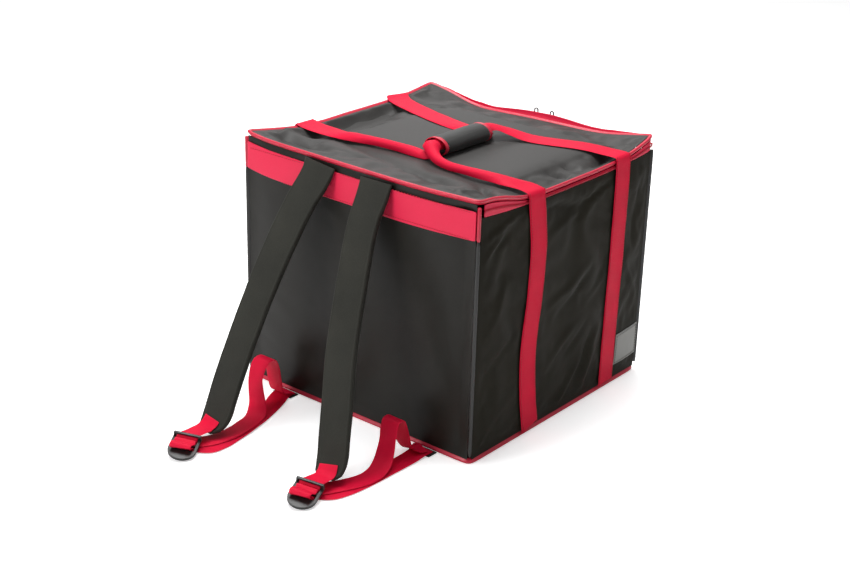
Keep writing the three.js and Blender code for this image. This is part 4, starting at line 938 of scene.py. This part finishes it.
band_low, band_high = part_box("back_band")
bpy.context.view_layer.update()
band_seats = []
BAND_ROWS = (band_low.z + 0.004, band_high.z - 0.009)
BAND_END = 0.008
RAY_BACK = 0.02
for height in BAND_ROWS:
    places_along = np.arange(band_low.x + BAND_END, band_high.x - BAND_END, 0.004)
    row = [(x, band_low.y - RAY_BACK, height) for x in places_along]
    line, outward = laid(band, row, (0, 1, 0))
    if len(line) > FEWEST_ROWS:
        band_seats += stitches(line, outward)
band_stitches = many("band_stitches", band_seats)
seat(band_stitches, red_thread, "band")

# Shoulder straps: foam in dark woven cloth, bound along both edges, flattened at the seam
# under the lid and at the narrow tips. Piping grooves run inside each edge.
STRAP_NODES = {"shoulder_strap_right": 5.0, "shoulder_strap_left": 11.0}
# Section of a strap: place across, and height over half its thickness
STRAP_SECTION = [
    (-1.0, 0.0), (-0.99, 0.5), (-0.95, 0.85), (-0.9, 0.93), (-0.85, 0.86), (-0.8, 0.9), (-0.6, 1.02),
    (-0.3, 1.08), (0.0, 1.1), (0.3, 1.08), (0.6, 1.02), (0.8, 0.9), (0.85, 0.86), (0.9, 0.93),
    (0.95, 0.85), (0.99, 0.5),
]
STRAP_CROWN = 1.1
STRAP_DARK, STRAP_LIGHT = (0.011, 0.0112, 0.0087), (0.031, 0.0305, 0.0242)
strap_cloth = cloth_material(
    "strap_cloth", STRAP_DARK, STRAP_LIGHT, 0.68, 2800, 0.00014, sheen=0.05, level=0.17, uv=True
)
for node, seed in STRAP_NODES.items():
    rings = rings_of(node, 10)
    centre = rings.mean(1)
    run = np.gradient(centre, axis=0)
    run /= np.linalg.norm(run, axis=1)[:, None]
    sideways = np.array([1.0, 0, 0]) - run[:, :1] * run
    sideways /= np.linalg.norm(sideways, axis=1)[:, None]
    outward = np.cross(run, sideways)
    spread = rings - centre[:, None]
    wide = np.abs((spread * sideways[:, None]).sum(2)).max(1)
    deep = (spread * outward[:, None]).sum(2).max(1) / STRAP_CROWN
    samples, lengths = even_samples(centre, 0.005)
    centre, sideways, outward = (smooth_run(v, samples) for v in (centre, sideways, outward))
    wide, deep = smooth_run(wide, samples), smooth_run(deep, samples)
    section = np.array(STRAP_SECTION + [(-a, -b) for a, b in STRAP_SECTION])
    ring_rows = np.empty((len(samples), len(section), 3))
    for i, length in enumerate(lengths):
        edge = 1 + 0.018 * noise.noise(Vector((length * 30, seed, 0)))
        for j, (across, height) in enumerate(section):
            dimple = 0.09 * noise.noise(Vector((length * 42, across * 1.6 + 3 * np.sign(height), seed)))
            dimple += 0.05 * noise.noise(Vector((length * 110, across * 1.2, seed + 4)))
            level_out = height * (1 + (dimple if abs(across) < 0.9 else 0))
            shift = sideways[i] * wide[i] * across * edge + outward[i] * deep[i] * level_out
            ring_rows[i, j] = centre[i] + shift
    widths = section[:, 0] * wide.max()
    piece = lofted(node + "_padded", ring_rows, lengths, widths)
    seat(piece, strap_cloth, "strap", node)

# Adjusting webbing: sewn into the base seam with a tab, laid along the floor to the lock,
# laced through it and back with a slack loop.
RUN_SEEDS = {
    "strap_webbing_right": 21.0,
    "strap_webbing_left": 27.0,
    "lock_webbing_right": 33.0,
    "lock_webbing_left": 39.0,
}
for node, seed in RUN_SEEDS.items():
    piece, _, _ = webbing_piece(node + "_woven", node, 2, 0.002, 0.0005, seed)
    seat(piece, red_webbing, "webbing", node)

# Ladder locks: moulded black plastic frames with rounded edges.
LOCK_EDGE, TAB_EDGE, GUARD_EDGE = 0.0009, 0.0004, 0.0008


def moulded_material(name, colour, rough, metallic=0.0):
    """Smooth plastic or metal with a fine grain, paler where rubbed."""
    material, tree, shader = plain_material(name)
    place = tree.nodes.new("ShaderNodeTexCoord").outputs["Object"]
    grain = add(tree, "ShaderNodeTexNoise", {"Vector": place, "Scale": 900})
    wear = add(tree, "ShaderNodeGroup", {"Place": place, "Amount": 0.5}, node_tree=wear_nodes)
    tone = mixed(tree, wear.outputs["Wear"], tint(colour), tint(colour, 3, 0.02))
    bump = add(tree, "ShaderNodeBump", {"Distance": 0.00003, "Height": grain.outputs["Fac"]})
    fill(shader, {"Base Color": tone, "Roughness": rough, "Normal": bump.outputs["Normal"]})
    fill(shader, {"Metallic": metallic})
    return material


def bevelled_copy(node, width, segments=3):
    """A CAD solid's copy with its sharp edges rounded."""
    piece = fine_copy(node, 0)
    only(piece)
    bpy.ops.object.modifier_add(type="BEVEL")
    rounding = piece.modifiers[-1]
    rounding.width = width
    rounding.segments = segments
    rounding.limit_method = "ANGLE"
    rounding.angle_limit = math.radians(50)
    bpy.ops.object.modifier_apply(modifier=rounding.name)
    bpy.ops.object.shade_smooth_by_angle(angle=math.radians(45))
    return piece


# The strap's webbing passes under a raised bar across the lock's straight end.
GUARD_WIDE, GUARD_LONG, GUARD_THICK = 0.0395, 0.0042, 0.0026
GUARD_AHEAD = 0.0030
GUARD_LIFT = 0.0072
GUARD_POST = 0.0036


def guard_bar(side):
    """The raised bar over a lock's straight end, with its two posts."""
    node = "ladder_lock_" + side
    mesh = bmesh.new()
    mesh.from_mesh(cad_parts[node].data)
    bmesh.ops.remove_doubles(mesh, verts=mesh.verts, dist=1e-5)
    sharp = [e for e in mesh.edges if e.calc_face_angle(0) > 1]
    longest = max(e.calc_length() for e in sharp)
    straight = [e for e in sharp if e.calc_length() > longest - 1e-4]
    middle = sum((e.verts[0].co + e.verts[1].co for e in straight), Vector()) / (2 * len(straight))
    across = (straight[0].verts[0].co - straight[0].verts[1].co).normalized()
    across = across if across.x > 0 else -across
    centre = sum((v.co for v in mesh.verts), Vector()) / len(mesh.verts)
    ahead = centre - middle
    ahead = (ahead - across * ahead.dot(across)).normalized()
    up = across.cross(ahead)
    up = up if up.z > 0 else -up
    mesh.free()
    turned = Matrix((across, ahead, up)).transposed().to_4x4()
    bpy.ops.object.select_all(action="DESELECT")
    bpy.ops.mesh.primitive_cube_add(size=1)
    bar = bpy.context.active_object
    bar.name = "lock_guard_" + side
    bpy.ops.object.mode_set(mode="EDIT")
    bpy.ops.transform.resize(value=(GUARD_WIDE, GUARD_LONG, GUARD_THICK))
    for end in (-1, 1):
        bpy.ops.mesh.select_all(action="DESELECT")
        bpy.ops.mesh.primitive_cube_add(size=1)
        bpy.ops.transform.resize(value=(GUARD_POST, GUARD_LONG, GUARD_LIFT))
        place = (end * (GUARD_WIDE - GUARD_POST) / 2, 0, -GUARD_LIFT / 2)
        bpy.ops.transform.translate(value=place)
    bpy.ops.object.mode_set(mode="OBJECT")
    bpy.ops.object.modifier_add(type="BEVEL")
    rounding = bar.modifiers[-1]
    rounding.width = GUARD_EDGE
    rounding.segments = 3
    bpy.ops.object.modifier_apply(modifier=rounding.name)
    bpy.ops.object.shade_smooth_by_angle(angle=math.radians(45))
    bar.data.transform(Matrix.Translation(middle + ahead * GUARD_AHEAD + up * GUARD_LIFT) @ turned)
    return bar


lock_plastic = moulded_material("lock_plastic", (0.008, 0.0085, 0.008), 0.42)
for side in ("right", "left"):
    lock = bevelled_copy("ladder_lock_" + side, LOCK_EDGE)
    seat(lock, lock_plastic, "lock", "ladder_lock_" + side)
    guard = guard_bar(side)
    seat(guard, lock_plastic, "lock")
    tab = bevelled_copy("anchor_tab_" + side, TAB_EDGE, 2)
    seat(tab, base_cloth, "strap", "anchor_tab_" + side)

# Zip: a red coil on red tape round three sides, with two metal sliders at the front.
TOOTH_PITCH = 0.0015
TOOTH_DEEP = 0.0010
ZIP_EDGE = 0.0003
# Its upper tape stands up behind the lid's front piping, where the slack front leans out. The crest of
# the piping is taken from its nearest points, at places that are CREST_STEP apart.
TAPE_FLARE = 0.0085
TAPE_LEAN = 0.0052
TAPE_REACH = 0.205
FRONT_FROM = 0.195
CORD_NEAREST = 12
CREST_STEP = 0.01
for node in ("zip_tape_upper", "zip_tape_lower"):
    piece = fine_copy(node, 3, 60)
    if node == "zip_tape_upper":
        places, _ = points_of(piece)
        rings = rings_of(node, 4)
        rings = rings[rings[:, :, 1].mean(1) > 0.2]
        rings = rings[np.argsort(rings[:, :, 0].mean(1))]
        spot = rings[:, :, 0].mean(1)
        foot = np.interp(places[:, 0], spot, rings[:, :, 2].min(1))
        head = np.interp(places[:, 0], spot, rings[:, :, 2].max(1))
        share = np.clip((places[:, 2] - foot) / (head - foot), 0, 1)
        along = places[:, 0] / TAPE_REACH
        window = np.clip(1 - np.abs(along), 0, 1) ** 0.3
        ripple = np.array([noise.noise(Vector((a * 4, 7.3, 0))) for a in along])
        cord, _ = points_of(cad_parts["lid_piping"])
        cord = cord[cord[:, 1] > 0.2]
        spots = np.arange(-0.2, 0.2001, CREST_STEP)
        crest = [cord[np.argsort(np.abs(cord[:, 0] - s))[:CORD_NEAREST], 2].max() for s in spots]
        crest = np.polyfit(spots, crest, 6)
        rise = np.maximum(np.polyval(crest, places[:, 0]) - head, 0)
        window *= places[:, 1] > FRONT_FROM
        places[:, 2] += (rise + TAPE_FLARE * (1 + 0.35 * ripple)) * window * share
        places[:, 1] += TAPE_LEAN * window * np.sin(0.6 * np.pi * share)
        put_points(piece, places)
    seat(piece, band_cloth, "zip", node)
rings = rings_of("zip_coil", 4)
centre = rings.mean(1)
samples, _ = even_samples(centre, TOOTH_PITCH)
middles = smooth_run(centre, samples)
tall = smooth_run(np.ptp(rings[:, :, 2], axis=1) / 2, samples)
runs = np.gradient(middles, axis=0)
teeth = []
for i, (middle, run) in enumerate(zip(middles, runs)):
    run = run / np.linalg.norm(run)
    out = np.cross(run, (0, 0, 1.0))
    out /= np.linalg.norm(out)
    rise = np.cross(out, run) * (1 if i % 2 else -1)
    rise /= np.linalg.norm(rise)
    leaning = rise * tall[i] * 0.62 + run * TOOTH_PITCH * 0.3
    teeth.append((middle + rise * tall[i] * 0.34, leaning, run * TOOTH_PITCH * 0.5, out * TOOTH_DEEP))
coil = many("zip_coil_teeth", teeth)
seat(coil, red_piping, "zip", "zip_coil")
zip_metal = moulded_material("zip_metal", (0.15, 0.145, 0.14), 0.3, metallic=1.0)
for node in ("zip_slider_left", "zip_slider_right", "zip_pull_left", "zip_pull_right"):
    piece = bevelled_copy(node, ZIP_EDGE, 2)
    seat(piece, zip_metal, "zip_metal", node)

# Reflective patch: silver tape sewn low on the right side, with tiny glass beads.
patch = fine_copy("reflective_patch", 3)
places, normals = points_of(patch)
put_points(patch, places + normals * (0.0005 * rumple(places, 0.025, 83.1))[:, None])
patch_tape = moulded_material("patch_tape", (0.21, 0.21, 0.195), 0.45)
seat(patch, patch_tape, "reflective", "reflective_patch")
bpy.context.view_layer.update()
PATCH_SEAM = 0.003
PATCH_STEPS = 16
inner_low = Vector((0, PATCH_LOW.y + PATCH_SEAM, PATCH_LOW.z + PATCH_SEAM))
inner_high = Vector((0, PATCH_HIGH.y - PATCH_SEAM, PATCH_HIGH.z - PATCH_SEAM))
corners = [(inner_low.y, inner_low.z), (inner_high.y, inner_low.z), (inner_high.y, inner_high.z)]
corners += [(inner_low.y, inner_high.z), (inner_low.y, inner_low.z)]
patch_seats = []
for (y0, z0), (y1, z1) in zip(corners, corners[1:]):
    shares = np.linspace(0.02, 0.98, PATCH_STEPS)
    row = [(PATCH_HIGH.x + RAY_BACK, y0 + (y1 - y0) * t, z0 + (z1 - z0) * t) for t in shares]
    line, outward = laid(patch, row, (-1, 0, 0))
    if len(line) > 4:
        patch_seats += stitches(line, outward)
patch_stitches = many("patch_stitches", patch_seats)
seat(patch_stitches, coated_material("grey_thread", (0.12, 0.12, 0.11), 0.6, 0.0, 0.00005), "reflective")

bpy.context.view_layer.update()
